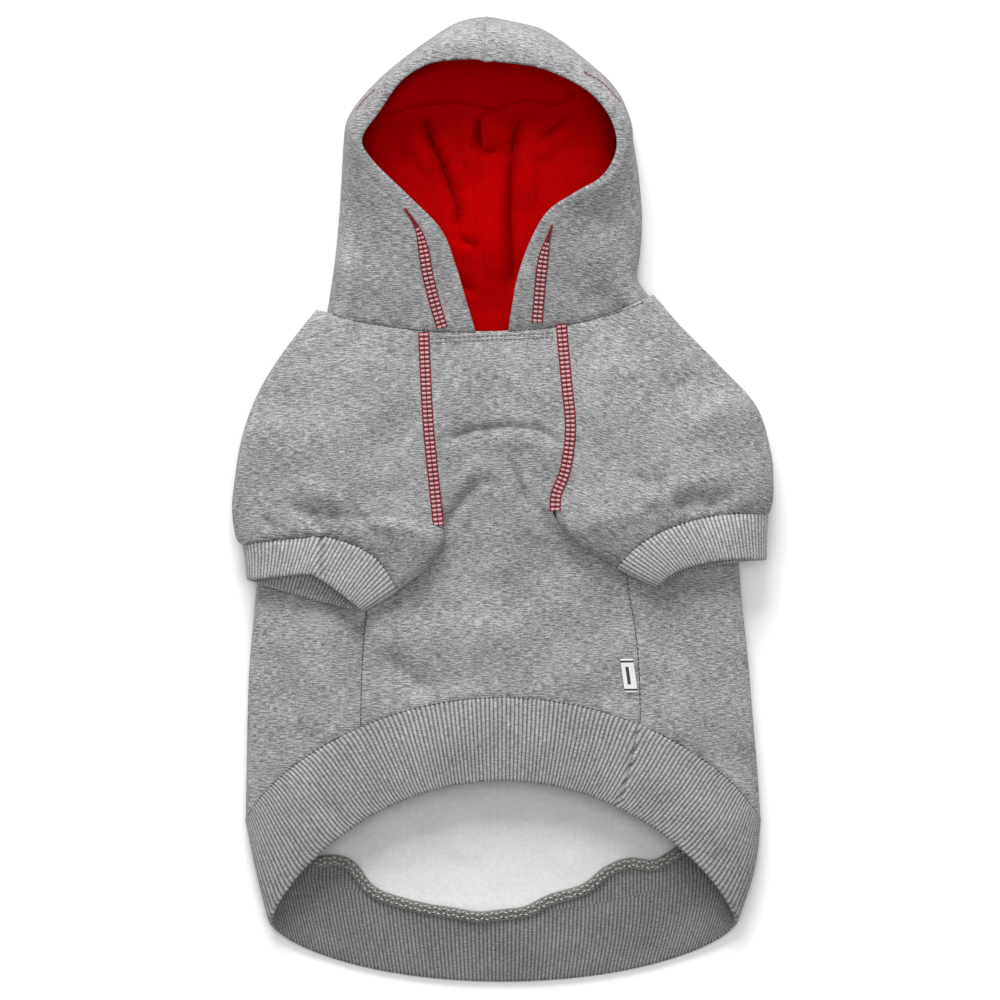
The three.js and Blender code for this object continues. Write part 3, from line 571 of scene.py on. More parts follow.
def back_grid():
    down = mix(NECK, 1.0, steps(150))[:, None]
    row = torso_row(down)
    to_hem = (1 - down) * LENGTH
    wrap, under = np.sin(steps(30) * math.pi / 2)[None, :], np.sin((steps(110) - 0.5) * math.pi)[None, :]
    left, right = (share_of(edge_at(BACK_EDGE, down, side), row) for side in (-1, 1))
    over_left = torso_point(row, -down * LENGTH, mix(left, -1, wrap), 1)
    bottom = torso_point(row, -down * LENGTH, under + 0 * down, -1)[:, 1:-1]
    over_right = torso_point(row, -down * LENGTH, mix(right, 1, wrap), 1)[:, ::-1]
    for g, edge, t in ((over_left, left, wrap), (over_right, right, wrap[:, ::-1])):
        to_seam = t * np.abs(1 - np.abs(edge)) * CHEST
        x, y = g[..., 0], g[..., 1]
        keep = smooth((g[..., 2] - FOLD) / 8)
        lift = ridges(x, y, BACK_WRAP_FOLDS) + 0.35 * ripple(x, y, 34, 3)
        lift += pucker(x, to_hem, 11, 0.28, 7, 1) + pucker(y, to_seam, 10, 0.16, 4, 4)
        g[..., 2] += keep * (lift + seam_groove(to_seam, 1.0) + seam_groove(to_hem))
    x, y = bottom[..., 0], bottom[..., 1]
    out = np.abs(under[:, 1:-1])
    bottom[..., 2] += 0.45 * np.exp(-((to_hem / 5) ** 2)) * smooth((0.97 - out) * 30)
    waves = clamp(ridges(x, y, BACK_INSIDE_FOLDS))
    bottom[..., 2] += smooth((0.62 - out) * 6) * smooth((y + 130) / -40) * waves
    g = np.concatenate([over_left, bottom, over_right], 1)
    return g, np.stack([level_arc(g), g[..., 1]], -1)


# Soft waves of the brushed inner side that shows through the hem.
BACK_INSIDE_FOLDS = [
    ([(-22, -232), (-16, -250), (-20, -268)], 1.6, 7.0),
    ([(-70, -238), (-56, -252), (-44, -268)], 1.8, 8.0),
    ([(30, -240), (36, -256), (26, -272)], 1.2, 9.0),
    ([(68, -240), (60, -252), (58, -262)], 1.6, 6.0),
]


# ---- hem band ----


def fan(s):
    """Where a rib that starts at s on the hem seam ends on the band's edge, as a share of the half width."""
    a = np.abs(s)
    return np.sign(s) * (a - 0.64 * a**2 * (1 - a) ** 0.6)


def uniform(rows, columns):
    """The same closed rows with columns evenly spaced along the middle row."""
    rows = np.concatenate([rows, rows[:, :1]], 1)
    length = travelled(rows[len(rows) // 2])
    at = np.linspace(0, length[-1], columns, endpoint=False)
    return np.array([taken(row, length, at) for row in rows])


def ribbed(g, gap, ribs, height):
    """The rows of a rib with their cloth's places, and its raised ribs with narrow grooves as a relief."""
    around = np.linspace(0, ribs, g.shape[1], endpoint=False)[None, :]
    even = 0.85 + 0.15 * np.sin(around * 2.4) * np.sin(around * 0.37)
    relief = height * (np.abs(np.cos(math.pi * around)) ** 0.8 - 0.5) * even
    uv = np.stack(np.broadcast_arrays(around * RIB_PITCH, -gap), -1)
    return g, uv, relief[..., None]


def hem_loop(v):
    """Points round the hem band at v of its height."""
    row = {n: float(column(HEM, n, v * 2)) for n in HEM}
    rise = (HEM_RISE + (row["side"] - row["front"]) * RIB) / HEM_RISE
    drop = (HEM_DROP - (row["side"] - row["back"]) * RIB) / HEM_DROP
    shape = {**row, "rise": rise, "drop": drop, "tilt": 0}
    turn = np.linspace(0, math.pi, 600)
    s = -np.cos(turn)
    top_s = mix(s, fan(s), v)
    side_y = -LENGTH - row["side"] * RIB
    over = torso_point(shape, side_y, top_s, 1, RIB_WALL)
    under = torso_point(shape, side_y, s[::-1][1:-1], -1, RIB_WALL)
    return np.concatenate([over, under])


def hem_grid():
    v = steps(22)
    ribs = 284
    g = uniform(np.array([hem_loop(a) for a in v]), ribs * (6))
    v = v[:, None]
    gap = v * RIB
    x, y, z = (g[..., k] for k in range(3))
    lift = seam_groove(gap) + pucker(x, gap, 11, 0.3, 9, 1) + 0.4 * ripple(x, y, 40, 9)
    lift += ridges(x, y, HEM_FOLDS) + 0.5 * np.sin(math.pi * v)
    g[..., 2] += smooth((z - FOLD) / 8) * lift
    inner = smooth((FOLD - 2 - z) / 2) * smooth(v * 4) * smooth((1 - v) * 5)
    g[..., 2] += inner * clamp(0.6 * ripple(x, y, 46, 21) + 0.3)
    return ribbed(g, gap, ribs, 0.42)


HEM_FOLDS = [
    ([(-96, -232), (-84, -240), (-76, -250)], -0.9, 5.0),
    ([(67.5, -199), (63.5, -219), (57, -239)], -0.75, 0.9, 0.03),
    ([(92, -228), (104, -248), (112, -268)], 0.8, 6.0),
]


# ---- sleeves and cuffs ----

BOW = {-1: (4.0, 1.15, 0.45), 1: (3.0, 2.0, 0.42)}


def bow_shape(s, side, kink=0.0):
    """How a sleeve's line bows across the arm: from 0 at its ends to 1 at its peak."""
    inner, outer, peak = BOW[side]
    inner = mix(inner, 1.3 if side < 0 else inner, kink)
    q = np.where(s < peak, 0.5 * s / peak, 0.5 + 0.5 * (s - peak) / (1 - peak))
    return np.where(q < 0.5, 1 - np.abs(2 * q - 1) ** inner, 1 - np.abs(2 * q - 1) ** outer)


def tube_rows(tab, v, side, wall, count, count_under, kink=0.0):
    """Lines across a sleeve or cuff: over the top from the inner end to the outer fold, and under it back."""
    last = len(tab["inX"]) - 1
    row = row_at(tab, np.asarray(v)[:, None] * last)
    closed = clamp(row.get("closed", np.ones_like(row["inX"])))
    end_x, end_down = row.get("endX", row["inX"]), row.get("endDown", row["inDown"])
    ends = (row["inX"], row["inDown"]), (row["outX"], row["outDown"]), (end_x, end_down)
    start, fold, finish = ((side * x * CHEST, -down * LENGTH) for x, down in ends)
    stack = FLEECE_WALL / 2 + LAY_GAP + wall / 2

    def rest(x, y):
        return torso_top(x, y) + stack + np.maximum(0, chest_lift(x, y)) * smooth(1.5 - np.abs(x) / 60)

    seam_z = torso_top(*start) + chest_lift(*start)
    fold_z = rest(*start) + wall
    peak = row["peak"] * SLEEVE_HEIGHT
    t = np.linspace(0, 1, count)[None, :]
    s = mix(t, np.sin(t * math.pi / 2), 0.75)
    share = mix(s, 0.5 - 0.5 * np.cos(s * math.pi), closed * 0.4)
    x = mix(start[0], fold[0], share)
    y = mix(start[1], fold[1], share) + row["bow"] * LENGTH * bow_shape(share, side, kink)
    opened = mix(seam_z, peak, smooth(share * 2))
    tube = fold_z + (peak - fold_z) * dome(1 - clamp(share * 2.2), SLEEVE_ROUND)
    z = mix(SLEEVE_FOLD, mix(opened, tube, closed), dome(share, SLEEVE_ROUND))
    over = np.stack([x, y, z], -1)
    t = np.linspace(0, 1, count_under)[None, 1:]
    x = mix(fold[0], finish[0], t)
    y = mix(fold[1], finish[1], t) + row["under"] * LENGTH * bow_shape(1 - t, side, kink)
    rise = mix(SLEEVE_FOLD, np.maximum(rest(*finish), SLEEVE_FOLD), smooth(t * 3))
    under = np.stack([x, y, np.maximum(rise, rest(x, y))], -1)
    strip = np.linspace(0, 1, STRIP)[None, 1:] * np.maximum(0.02, smooth(closed * 2 - 1))
    x, y = mix(finish[0], start[0], strip), mix(finish[1], start[1], strip)
    return over, np.concatenate([under, np.stack([x, y, rest(x, y)], -1)], 1), share


def neck_line(side):
    """The hood's bottom edge from the face opening's rim to the side fold."""
    row = torso_row(np.array(NECK))
    start = share_of(hood_lines(side, [0.0], HOOD_UNDER)[0, 0, 0], row)
    return torso_point(row, -NECK * LENGTH, mix(start, side, HOOD_TOP), 1)


def sleeve_grid(side):
    v = steps(110)
    over, under, share = tube_rows(SLEEVES[side], v, side, FLEECE_WALL, 90, 44)
    v = v[:, None]
    neck = neck_line(side)
    away = side * over[..., 0]
    over[..., 1] += (1 - smooth(v * 9)) * smooth((share - 0.45) * 2) * (0.8 if side < 0 else 2.6)
    # the top rows come up to the hood's bottom edge, and down to its height
    meet = (1 - smooth(v * 8)) * smooth((SLEEVES[side]["endX"][0] * CHEST - 3 - away) / 8)
    raised, height = (np.interp(away, side * neck[:, 0], neck[:, k]) for k in (1, 2))
    over[..., 1] += meet * np.maximum(0, raised - 0.3 - over[..., 1])
    over[..., 2] += meet * np.minimum(0, np.maximum(height, SLEEVE_FOLD + 2.5) - over[..., 2])
    x, y = over[..., 0], over[..., 1]
    to_cuff, to_neck, across = travelled(over[::-1])[::-1], travelled(over), travelled(over, 1)
    keep = smooth((1 - share) * 5) * smooth(share * 4)
    lift = keep * (ridges(x, y, SLEEVE_FOLDS) + 0.55 * ripple(x, y, 36, 5 + side))
    ends = pucker(x, to_cuff, 8.5, 0.5, 7, 5 + side) + seam_groove(to_cuff, 1.0, 1.8)
    lift += smooth((1 - share) * 6) * (ends + seam_groove(to_neck, 0.9))
    lift += (1 - smooth((v - 0.62) * 9)) * (seam_groove(across, 0.35) + pucker(y, across, 9, 0.14, 4, 7))
    over[..., 2] += lift
    g = np.concatenate([over, under], 1)
    u = level_arc(g) + g[:, g.shape[1] // 2, 0][:, None]
    return g, leaned(u, g[..., 1], -4 if side < 0 else -13)


def cuff_grid(side):
    v = steps(16)
    over, under, _ = tube_rows(CUFFS[side], v, side, RIB_WALL, 160, 120, kink=v[:, None])
    ribs = 84 if side < 0 else 82
    g = uniform(np.concatenate([over, under[:, :-STRIP]], 1), ribs * (7))
    gap = v[:, None] * 20
    x, y, z = (g[..., k] for k in range(3))
    top = smooth((z - 24) / 4)
    lift = seam_groove(gap, 0.9, 1.8) + 0.3 * ripple(x, y, 22, 12 + side) + 0.5 * np.sin(math.pi * v)[:, None]
    if side < 0:
        lift += ridge(x, y, [(-90, -101), (-89.5, -124)], -1.6, 1.2, 0.1)
        lift += ridge(x, y, [(-93.5, -101), (-93, -124)], 0.8, 2.2, 0.1)
    g[..., 2] += top * lift
    return ribbed(g, gap, ribs, 0.4)


# ---- hood ----

HOOD_TOP = np.sin(np.linspace(0, 1, 46) * math.pi / 2)
HOOD_UNDER = np.cos(np.linspace(0, 1, 40)[1:] * math.pi / 2)


def hood_seam(side):
    return HOOD_SHIFT + HOOD_SEAM - side * 0.05


def hood_lines(side, u, under_s):
    tab = HOODS[side]
    last = len(tab["rimX"]) - 1
    row = row_at(tab, np.asarray(u)[:, None] * last)
    seam = hood_seam(side)
    rim = [HOOD_SHIFT + side * row["rimX"] * HOOD, row["rimY"] * HOOD_LENGTH]
    out = [HOOD_SHIFT + side * row["outX"] * HOOD, row["outY"] * HOOD_LENGTH]
    crown = smooth(np.asarray(u)[:, None] * (last + 1) - last)
    rim[0], out[0] = mix(rim[0], seam, crown), mix(out[0], seam, crown)
    lift = row["lift"] * HOOD_HEIGHT
    s = HOOD_TOP[None, :]
    over = [mix(rim[0], out[0], s), mix(rim[1], out[1], s), FOLD + (lift - FOLD) * dome(s, SLEEVE_ROUND)]
    s = under_s[None, :]
    low = floor_height(s, FLEECE_WALL) + 0 * lift
    under = [mix(seam, out[0], s), mix(row["backY"] * HOOD_LENGTH, out[1], s), low]
    return np.concatenate([np.stack(over, -1), np.stack(under, -1)], 1)


def outward(g):
    """Unit vectors in the plan that point away from the face opening, one for each column."""
    rim = g[0, :, :2]
    away = sideways(rim)
    return away * np.sign((away * (rim - FACE_MIDDLE)).sum(1))[:, None]


def hood_grid(side):
    """Rows run from the face opening's rim to the back seam, columns from the throat to the crown."""
    u = steps(110)
    g = hood_lines(side, u, HOOD_UNDER)
    row = torso_row(np.array(NECK))
    over = neck_line(side)
    under = mix(share_of(hood_seam(side), row), side, HOOD_UNDER)
    under = torso_point(row, -NECK * LENGTH, under, -1)
    # the bottom corner rises to the sleeve's top row
    sleeve = tube_rows(SLEEVES[side], [0.0], side, FLEECE_WALL, 60, 10)[0][0]
    away = side * over[:, 0]
    near = smooth((away - SLEEVES[side]["endX"][0] * CHEST + 8) / 8) * smooth((1 - HOOD_TOP) * 20)
    rise = np.interp(away, side * sleeve[:, 0], sleeve[:, 2]) - 0.5 - over[:, 2]
    over[:, 2] += near * np.maximum(0, rise)
    shift = np.concatenate([over, under]) - g[0]
    g = g + shift[None] * (1 - smooth(u * 3))[:, None, None]
    g = g.transpose(1, 0, 2)
    # where a column leaves the rim along it or inwards, it bends outwards
    top = len(HOOD_TOP)
    away = outward(g)
    out = g[top - 1, :, :2] - g[0, :, :2]
    bend = np.maximum(0, 0.62 * np.hypot(*out.T) - (out * away).sum(1)) / 4
    bend = evened(bend, 15) * smooth(u * 6) * smooth((1 - u) * 6)
    swell = 4 * HOOD_TOP * (1 - HOOD_TOP)
    g[:top, :, :2] += swell[:, None, None] * (away * bend[:, None])[None]
    return g


def hood_pieces(side):
    """The outer cloth and the lining as grids, and the cloth's own places."""
    g = hood_grid(side)
    x, y, z = (g[..., k].copy() for k in range(3))
    top = (np.arange(g.shape[0]) < len(HOOD_TOP))[:, None]
    across, to_neck = travelled(g), travelled(g[0])[None, :]
    to_crown = to_neck[:, -1:] - to_neck
    keep = top * smooth((z - FOLD) / 12)
    outer = g.copy()
    lift = (ridges(x, y, HOOD_FOLDS) + 0.45 * ripple(x, y, 38, 8 + side)) * smooth(across / 6)
    lift += seam_groove(to_neck, 0.9) + pucker(x, to_neck, 9, 0.25, 6, 3) + seam_groove(to_crown, 1.3, 1.7)
    lift += -0.5 * np.exp(-(((across - 11) / 2.0) ** 2)) * smooth((to_neck / to_neck[:, -1:] - 0.02) * 40)
    outer[..., 2] += keep * lift
    outer[..., 1] -= 1.2 * np.exp(-((to_crown / 2.6) ** 2))
    steep = across - travelled(g[..., :2])
    u, w = (g[..., k] + steep * outward(g)[None, :, k] for k in (0, 1))
    inner = slid(outer, across, 1.5)
    loose = smooth((across - across[len(HOOD_TOP) - 1][None, :] - 3) / 14)
    past = y - np.interp(x, *CROWN_CREASE.T)
    flap = 4.0 * smooth(past / 2.0 + 0.5) + 0.3 * np.clip(past, 0, 12)
    flap += 6.6 + 5 * smooth((np.abs(x + 8) - 22) / 25) - 6 * smooth((42 - y) / 36)
    folds = ridges(x, y, LINING_FOLDS) + flap + 0.5 * ripple(x, y, 24, 17)
    crown = np.exp(-((to_crown / 5) ** 2))
    inner[..., 2] += loose * np.maximum(-0.2, folds) - keep * 0.6 * crown
    inner[..., 1] -= 1.6 * crown
    inner[..., 0] -= side * 0.7 * np.exp(-(((across[-1:] - across) / 3) ** 2))
    return outer, inner, leaned(u, w, 0 if side < 0 else -9)


def slid(g, across, start):
    """The same rows of points, with the first ones drawn in from the rim by start mm."""
    at = across + start * np.exp(-across / 4)
    return np.stack([taken(g[:, j], across[:, j], at[:, j]) for j in range(g.shape[1])], 1)


# ---- materials ----


class Paint:
    """A material's nodes, with short words for the common ones."""

    def __init__(self, name, roughness=0.9, sheen=0.0, specular=0.25):
        self.mat = bpy.data.materials.new(name)
        self.mat.use_nodes = True
        self.tree = self.mat.node_tree
        self.surface = self.tree.nodes["Principled BSDF"]
        values = {"Roughness": roughness, "Specular IOR Level": specular, "Sheen Weight": sheen}
        for key, value in {**values, "Sheen Roughness": 0.55}.items():
            self.surface.inputs[key].default_value = value

    def node(self, kind, values=(), **settings):
        made = self.tree.nodes.new("ShaderNode" + kind)
        for key, value in settings.items():
            setattr(made, key, value)
        for key, value in dict(values).items():
            if hasattr(value, "is_output"):
                self.tree.links.new(value, made.inputs[key])
            else:
                made.inputs[key].default_value = value
        return made

    def cloth(self, x, y):
        """The cloth's own place in metres, times x and y."""
        uv = self.node("UVMap", uv_map="cloth").outputs[0]
        return self.node("VectorMath", {0: uv, 1: (x, y, 1)}, operation="MULTIPLY").outputs[0]

    def noise(self, vector, scale=1.0, detail=2.0, rough=0.55):
        values = {"Vector": vector, "Scale": scale, "Detail": detail, "Roughness": rough}
        return self.node("TexNoise", values).outputs[0]

    def sum(self, *parts):
        """A weighted sum of values: pairs of a value and its weight."""
        total = 0.0
        for value, weight in parts:
            total = self.node("Math", {0: value, 1: weight, 2: total}, operation="MULTIPLY_ADD").outputs[0]
        return total

    def math(self, operation, a, b=0.0):
        return self.node("Math", {0: a, 1: b}, operation=operation).outputs[0]

    def ramp(self, value, *stops):
        made = self.node("ValToRGB", {0: value})
        points = made.color_ramp.elements
        while len(points) < len(stops):
            points.new(0.5)
        for point, (at, colour) in zip(points, stops):
            point.position = at
            point.color = (*colour, 1) if hasattr(colour, "__len__") else (colour, colour, colour, 1)
        return made.outputs[0]

    def blend(self, amount, a, b, kind="MIX"):
        values = {0: amount, 6: a, 7: b}
        return self.node("Mix", values, data_type="RGBA", blend_type=kind).outputs[2]

    def colour(self, value):
        if hasattr(value, "is_output"):
            self.tree.links.new(value, self.surface.inputs["Base Color"])
        else:
            self.surface.inputs["Base Color"].default_value = (*value, 1)

    def bump(self, height, distance, strength=1.0):
        values = {"Height": height, "Distance": distance / 1000, "Strength": strength}
        made = self.node("Bump", values)
        self.tree.links.new(made.outputs[0], self.surface.inputs["Normal"])

    def knit(self, wale, course):
        """Height of a jersey's small V stitches; wale and course are their width and height in mm."""
        uv = self.node("SeparateXYZ", {0: self.cloth(1000 / wale, 1000 / course)})
        x, y = uv.outputs[0], uv.outputs[1]
        across = self.math("PINGPONG", x, 0.5)
        slanted = self.sum((y, 1.0), (across, 1.6))
        rows = self.math("PINGPONG", slanted, 0.5)
        return self.sum((across, 1.0), (rows, 1.2))


def marl(paint, dark, middle, light, length=5.0, height=0.5, grain=0.3):
    """Streaks of dark and light yarn, as a colour and as the value under it."""
    long_streaks = paint.noise(paint.cloth(1000 / length, 1000 / height), detail=3, rough=0.6)
    short_streaks = paint.noise(paint.cloth(2300 / length, 1300 / height), detail=2)
    fine = paint.noise(paint.cloth(1700, 1900), detail=2, rough=0.7)
    broad = paint.noise(paint.cloth(28, 46), detail=3)
    parts = (long_streaks, 0.7 - grain), (short_streaks, 0.3), (fine, grain), (broad, 0.12), (0.5, -0.12)
    value = paint.sum(*parts)
    low, mid, high = ((v, v * 0.985, v) for v in (dark, middle, light))
    return paint.ramp(value, (0.425, low), (0.5, mid), (0.575, high)), value


def fleece_paint(name, dark=0.095, middle=0.23, light=0.455, **sizes):
    paint = Paint(name, roughness=0.95, sheen=0.06)
    colour, value = marl(paint, dark, middle, light, **sizes)
    paint.colour(colour)
    fuzz = paint.noise(paint.cloth(1700, 1700), detail=3)
    paint.bump(paint.sum((paint.knit(1.25, 1.05), 0.35), (fuzz, 0.7), (value, 0.5)), 0.28)
    return paint.mat


def rib_paint(name, dark, middle, light):
    paint = Paint(name, roughness=0.95, sheen=0.1)
    colour, value = marl(paint, dark, middle, light, length=3.4, height=0.5)
    # painted shade: the colour is darkened in the grooves between the ribs
    uv = paint.node("SeparateXYZ", {0: paint.cloth(1000 / RIB_PITCH, 1)}).outputs[0]
    groove = paint.math("ABSOLUTE", paint.math("SINE", paint.math("MULTIPLY", uv, math.pi)))
    painted_groove_shade = paint.ramp(groove, (0.62, 1.0), (0.98, 0.38))
    paint.colour(paint.blend(1.0, colour, painted_groove_shade, "MULTIPLY"))
    paint.bump(paint.sum((paint.knit(RIB_PITCH / 2, 0.9), 0.5), (value, 0.6)), 0.22)
    return paint.mat


def brushed_paint(name, dark, light):
    paint = Paint(name, roughness=1.0, sheen=0.3)
    tufts = paint.noise(paint.cloth(420, 420), detail=5, rough=0.7)
    clouds = paint.noise(paint.cloth(45, 60), detail=3)
    value = paint.sum((tufts, 0.7), (clouds, 0.3))
    paint.colour(paint.ramp(value, (0.36, (dark,) * 3), (0.6, (light,) * 3)))
    paint.bump(tufts, 0.5, 0.35)
    return paint.mat


def jersey_paint(name):
    paint = Paint(name, roughness=0.9, sheen=0.0, specular=0.0)
    value = paint.noise(paint.cloth(500, 900), detail=3)
    paint.colour(paint.ramp(value, (0.3, (0.33, 0.0004, 0.0006)), (0.7, (0.42, 0.0006, 0.0009))))
    fine = paint.noise(paint.cloth(2000, 2000), detail=2)
    paint.bump(paint.sum((paint.knit(0.9, 0.8), 0.6), (fine, 0.4)), 0.16)
    return paint.mat


def thread_paint(name, colour, twist=0.5, roughness=0.7):
    paint = Paint(name, roughness=roughness, sheen=0.1)
    place = paint.node("TexCoord").outputs["Object"]
    value = paint.noise(place, scale=1600, detail=2)
    low, high = (tuple(c * k for c in colour) for k in (1 - twist * 0.5, 1 + twist * 0.4))
    paint.colour(paint.ramp(value, (0.35, low), (0.65, high)))
    paint.bump(value, 0.12)
    return paint.mat


def label_paint(name, width, height):
    """White satin with plain dark bars."""
    paint = Paint(name, roughness=0.5, specular=0.4)
    uv = paint.node("SeparateXYZ", {0: paint.cloth(1000, 1000)})
    x, y = uv.outputs[0], uv.outputs[1]
    from_middle = paint.math("ABSOLUTE", y)
    outer = paint.math("GREATER_THAN", from_middle, height * 0.4)
    tip = paint.math("GREATER_THAN", from_middle, height * 0.462)
    bar = paint.math("SUBTRACT", outer, tip)
    middle_bar = paint.math("LESS_THAN", from_middle, height * 0.27)
    narrow = paint.math("LESS_THAN", paint.math("ABSOLUTE", paint.math("SUBTRACT", x, 0.4)), width * 0.13)
    mark = paint.math("MAXIMUM", bar, paint.math("MULTIPLY", middle_bar, narrow))
    weave = paint.noise(paint.cloth(3800, 1200), detail=2)
    white = paint.ramp(weave, (0.3, (0.55, 0.55, 0.56)), (0.7, (0.72, 0.72, 0.73)))
    paint.colour(paint.blend(mark, white, (0.02, 0.02, 0.022, 1)))
    paint.bump(weave, 0.1)
    return paint.mat


FLEECE = fleece_paint("marled_fleece")
RIB_CLOTH = rib_paint("marled_rib", 0.175, 0.3, 0.45)
CUFF_CLOTH = rib_paint("light_rib", 0.22, 0.38, 0.56)
# The rib's inner side: the same rib painted darker, as painted shade in the recess
RIB_SHADED_INSIDE = rib_paint("rib_inside_painted_shade", 0.12, 0.19, 0.28)
BRUSHED = brushed_paint("brushed_inside", 0.56, 0.64)
LINING = jersey_paint("red_jersey")
OVERLOCK = thread_paint("overlock_thread", (0.12, 0.115, 0.095))
CHAIN = thread_paint("white_thread", (0.5, 0.49, 0.44))
RED_THREAD = thread_paint("dark_red_thread", (0.17, 0.004, 0.01))
PINK_THREAD = thread_paint("pink_thread", (0.56, 0.3, 0.33))
GREY_THREAD = thread_paint("grey_thread", (0.2, 0.195, 0.2))
# Painted shadow: near-black dashes laid in the seam grooves as the seams' shade
SEAM_SHADOW_PAINT = thread_paint("painted_seam_shadow", (0.05, 0.05, 0.052))
TAPE = brushed_paint("seam_allowance", 0.1, 0.22)
LABEL_SIZE = (6.4, 16.5)
LABEL = label_paint("woven_label", *LABEL_SIZE)


# ---- cloth pieces ----


def rib_shell(name, grid, uv, relief, mats):
    return shell(name, grid, uv, mats, RIB_WALL, True, rounded=(False, True), relief=relief)


def make_cloth():
    fleece = (FLEECE, BRUSHED)
    made = [
        shell("back_cloth", *back_grid(), fleece),
        shell("belly_cloth", *belly_grid(), fleece),
        # the hem rib's inner side is the rib painted darker, as painted shade
        rib_shell("hem_rib", *hem_grid(), (RIB_CLOTH, RIB_SHADED_INSIDE)),
    ]
    thin = {"wall": LINING_WALL, "lift": -(FLEECE_WALL + LINING_WALL) / 2 - 0.2}
    for side, word in ((-1, "left"), (1, "right")):
        outer, inner, uv = hood_pieces(side)
        made += [
            shell(f"sleeve_{word}_cloth", *sleeve_grid(side), fleece),
            # the cuff's inner side is the darker hem rib, as painted shade inside the cuff
            rib_shell(f"cuff_{word}_rib", *cuff_grid(side), (CUFF_CLOTH, RIB_CLOTH)),
            shell(f"hood_{word}_cloth", outer, uv, fleece, rounded=(True, False)),
            shell(f"hood_{word}_lining", inner, uv, (LINING, LINING), rounded=(True, False), **thin),
        ]
    return {ob.name: ob for ob in made}


def seam_lines():
    """The seams that get a painted shadow line: points x, y, and the tree of the cloth they lie on."""
    lines = []
    for side in (-1, 1):
        down = np.linspace(0.45, 0.995, 60)
        row = torso_row(down)
        s = share_of(0.5 * (edge_at(BELLY_EDGE, down, side) + edge_at(BACK_EDGE, down, side)), row)
        lines.append((torso_point(row, -down * LENGTH, s, 1)[:, :2], BODY))
        over = tube_rows(CUFFS[side], [0.0], side, RIB_WALL, 60, 10)[0][0]
        lines.append((over[:-3, :2] + np.array([0, 0.15]), TOP))
        lines.append((neck_line(side)[:-6, :2], TOP))
    row = torso_row(np.array(1.0))
    lines.append((torso_point(row, -LENGTH, np.sin(np.linspace(-1.45, 1.45, 200)), 1)[:, :2], BODY))
    return lines


RIDGE_LINE = [
    (-100, -262), (-93.5, -266), (-84, -265), (-76, -268), (-66, -278.5), (-53.5, -285.5), (-40, -289),
    (-26, -291.5), (-8, -292.5), (9, -291.5), (21.5, -286.5), (33, -282), (44, -277), (54, -270),
    (64, -266.5), (76.5, -268), (88, -260), (97, -255),
]


def resample(points, pitch):
    """Evenly spaced points along a smooth curve through the given ones."""
    tab = table("x y", *points)
    at = np.linspace(0, len(points) - 1, len(points) * 24)
    curve = np.stack([column(tab, name, at) for name in "xy"], -1)
    length = travelled(curve)
    return taken(curve, length, np.arange(0, length[-1], pitch))


CLOTH = make_cloth()


def recolour_inside():
    """The rib's inner side, the rib painted darker as shade, starts at the seam ridge, which wanders a little
    from the panel's edge.
    """
    line = resample(RIDGE_LINE, 1.0)
    for name, other in (("back_cloth", RIB_SHADED_INSIDE), ("hem_rib", BRUSHED)):
        mesh = CLOTH[name].data
        mesh.materials.append(other)
        for face in mesh.polygons:
            x, y, z = np.array(face.center) * 1000 - MIDDLE
            below = y < np.interp(x, *line.T)
            if face.material_index == 1 and z <= 9 and below == (name == "back_cloth"):
                face.material_index = len(mesh.materials) - 1


recolour_inside()


# ---- stitches and small parts ----


def tree_of(objects):
    """One search tree over several pieces, for laying stitches on the cloth."""
    verts, faces = [], []
    for ob in objects:
        start = len(verts)
        verts.extend(v.co[:] for v in ob.data.vertices)
        faces.extend([start + i for i in f.vertices] for f in ob.data.polygons)
    return BVHTree.FromPolygons(verts, faces)


TOP = tree_of([ob for name, ob in CLOTH.items() if "lining" not in name])
BODY = tree_of([CLOTH[name] for name in ("back_cloth", "belly_cloth", "hem_rib")])


def on_cloth(points, lift=0.0, tree=None, high=200.0):
    """The points x, y dropped on the cloth from above, raised by lift mm."""
    out = []
    for x, y in points:
        start = Vector((x + MIDDLE[0], y + MIDDLE[1], high)) / 1000
        hit = (tree or TOP).ray_cast(start, Vector((0, 0, -1)))[0]
        z = hit.z * 1000 if hit else (out[-1][2] - lift if out else FOLD)
        out.append((x, y, z + lift))
    return np.array(out)


def tubes(name, paths, radius, material, sides=6):
    """One mesh of a round thread along each path of points in mm; radius may be one for each path."""
    verts, faces, start = [], [], 0
    turn = (np.arange(sides) * 2 * math.pi / sides)[None, :, None]
    for path, size in zip(paths, radius if hasattr(radius, "__len__") else [radius] * len(paths)):
        path = np.asarray(path, float)
        d = unit(np.gradient(path, axis=0))
        up = np.where(np.abs(d[:, 2:3]) > 0.95, np.array([[1.0, 0, 0]]), np.array([[0, 0, 1.0]]))
        a = unit(np.cross(d, up))
        b = np.cross(a, d)
        ring = a[:, None] * np.cos(turn) + b[:, None] * np.sin(turn)
        verts.append((path[:, None] + ring * size).reshape(-1, 3))
        end = start + (len(path) - 1) * sides
        for i in range(start, end, sides):
            for j in range(sides):
                k = (j + 1) % sides
                faces.append([i + j, i + k, i + sides + k, i + sides + j])
        faces.append([start + j for j in reversed(range(sides))])
        faces.append([end + j for j in range(sides)])
        start = end + sides
    return placed(name, mesh_of(name, np.concatenate(verts), faces, [material]))


def sunk(a, b, lift, dip, count=5):
    """A stitch from a to b that rises out of the cloth and dips back into it."""
    t = np.linspace(0, 1, count)[:, None]
    p = mix(np.asarray(a)[None], np.asarray(b)[None], t)
    p[:, 2] += (lift * np.sin(math.pi * t) - dip * (np.abs(2 * t - 1) ** 3))[:, 0]
    return p


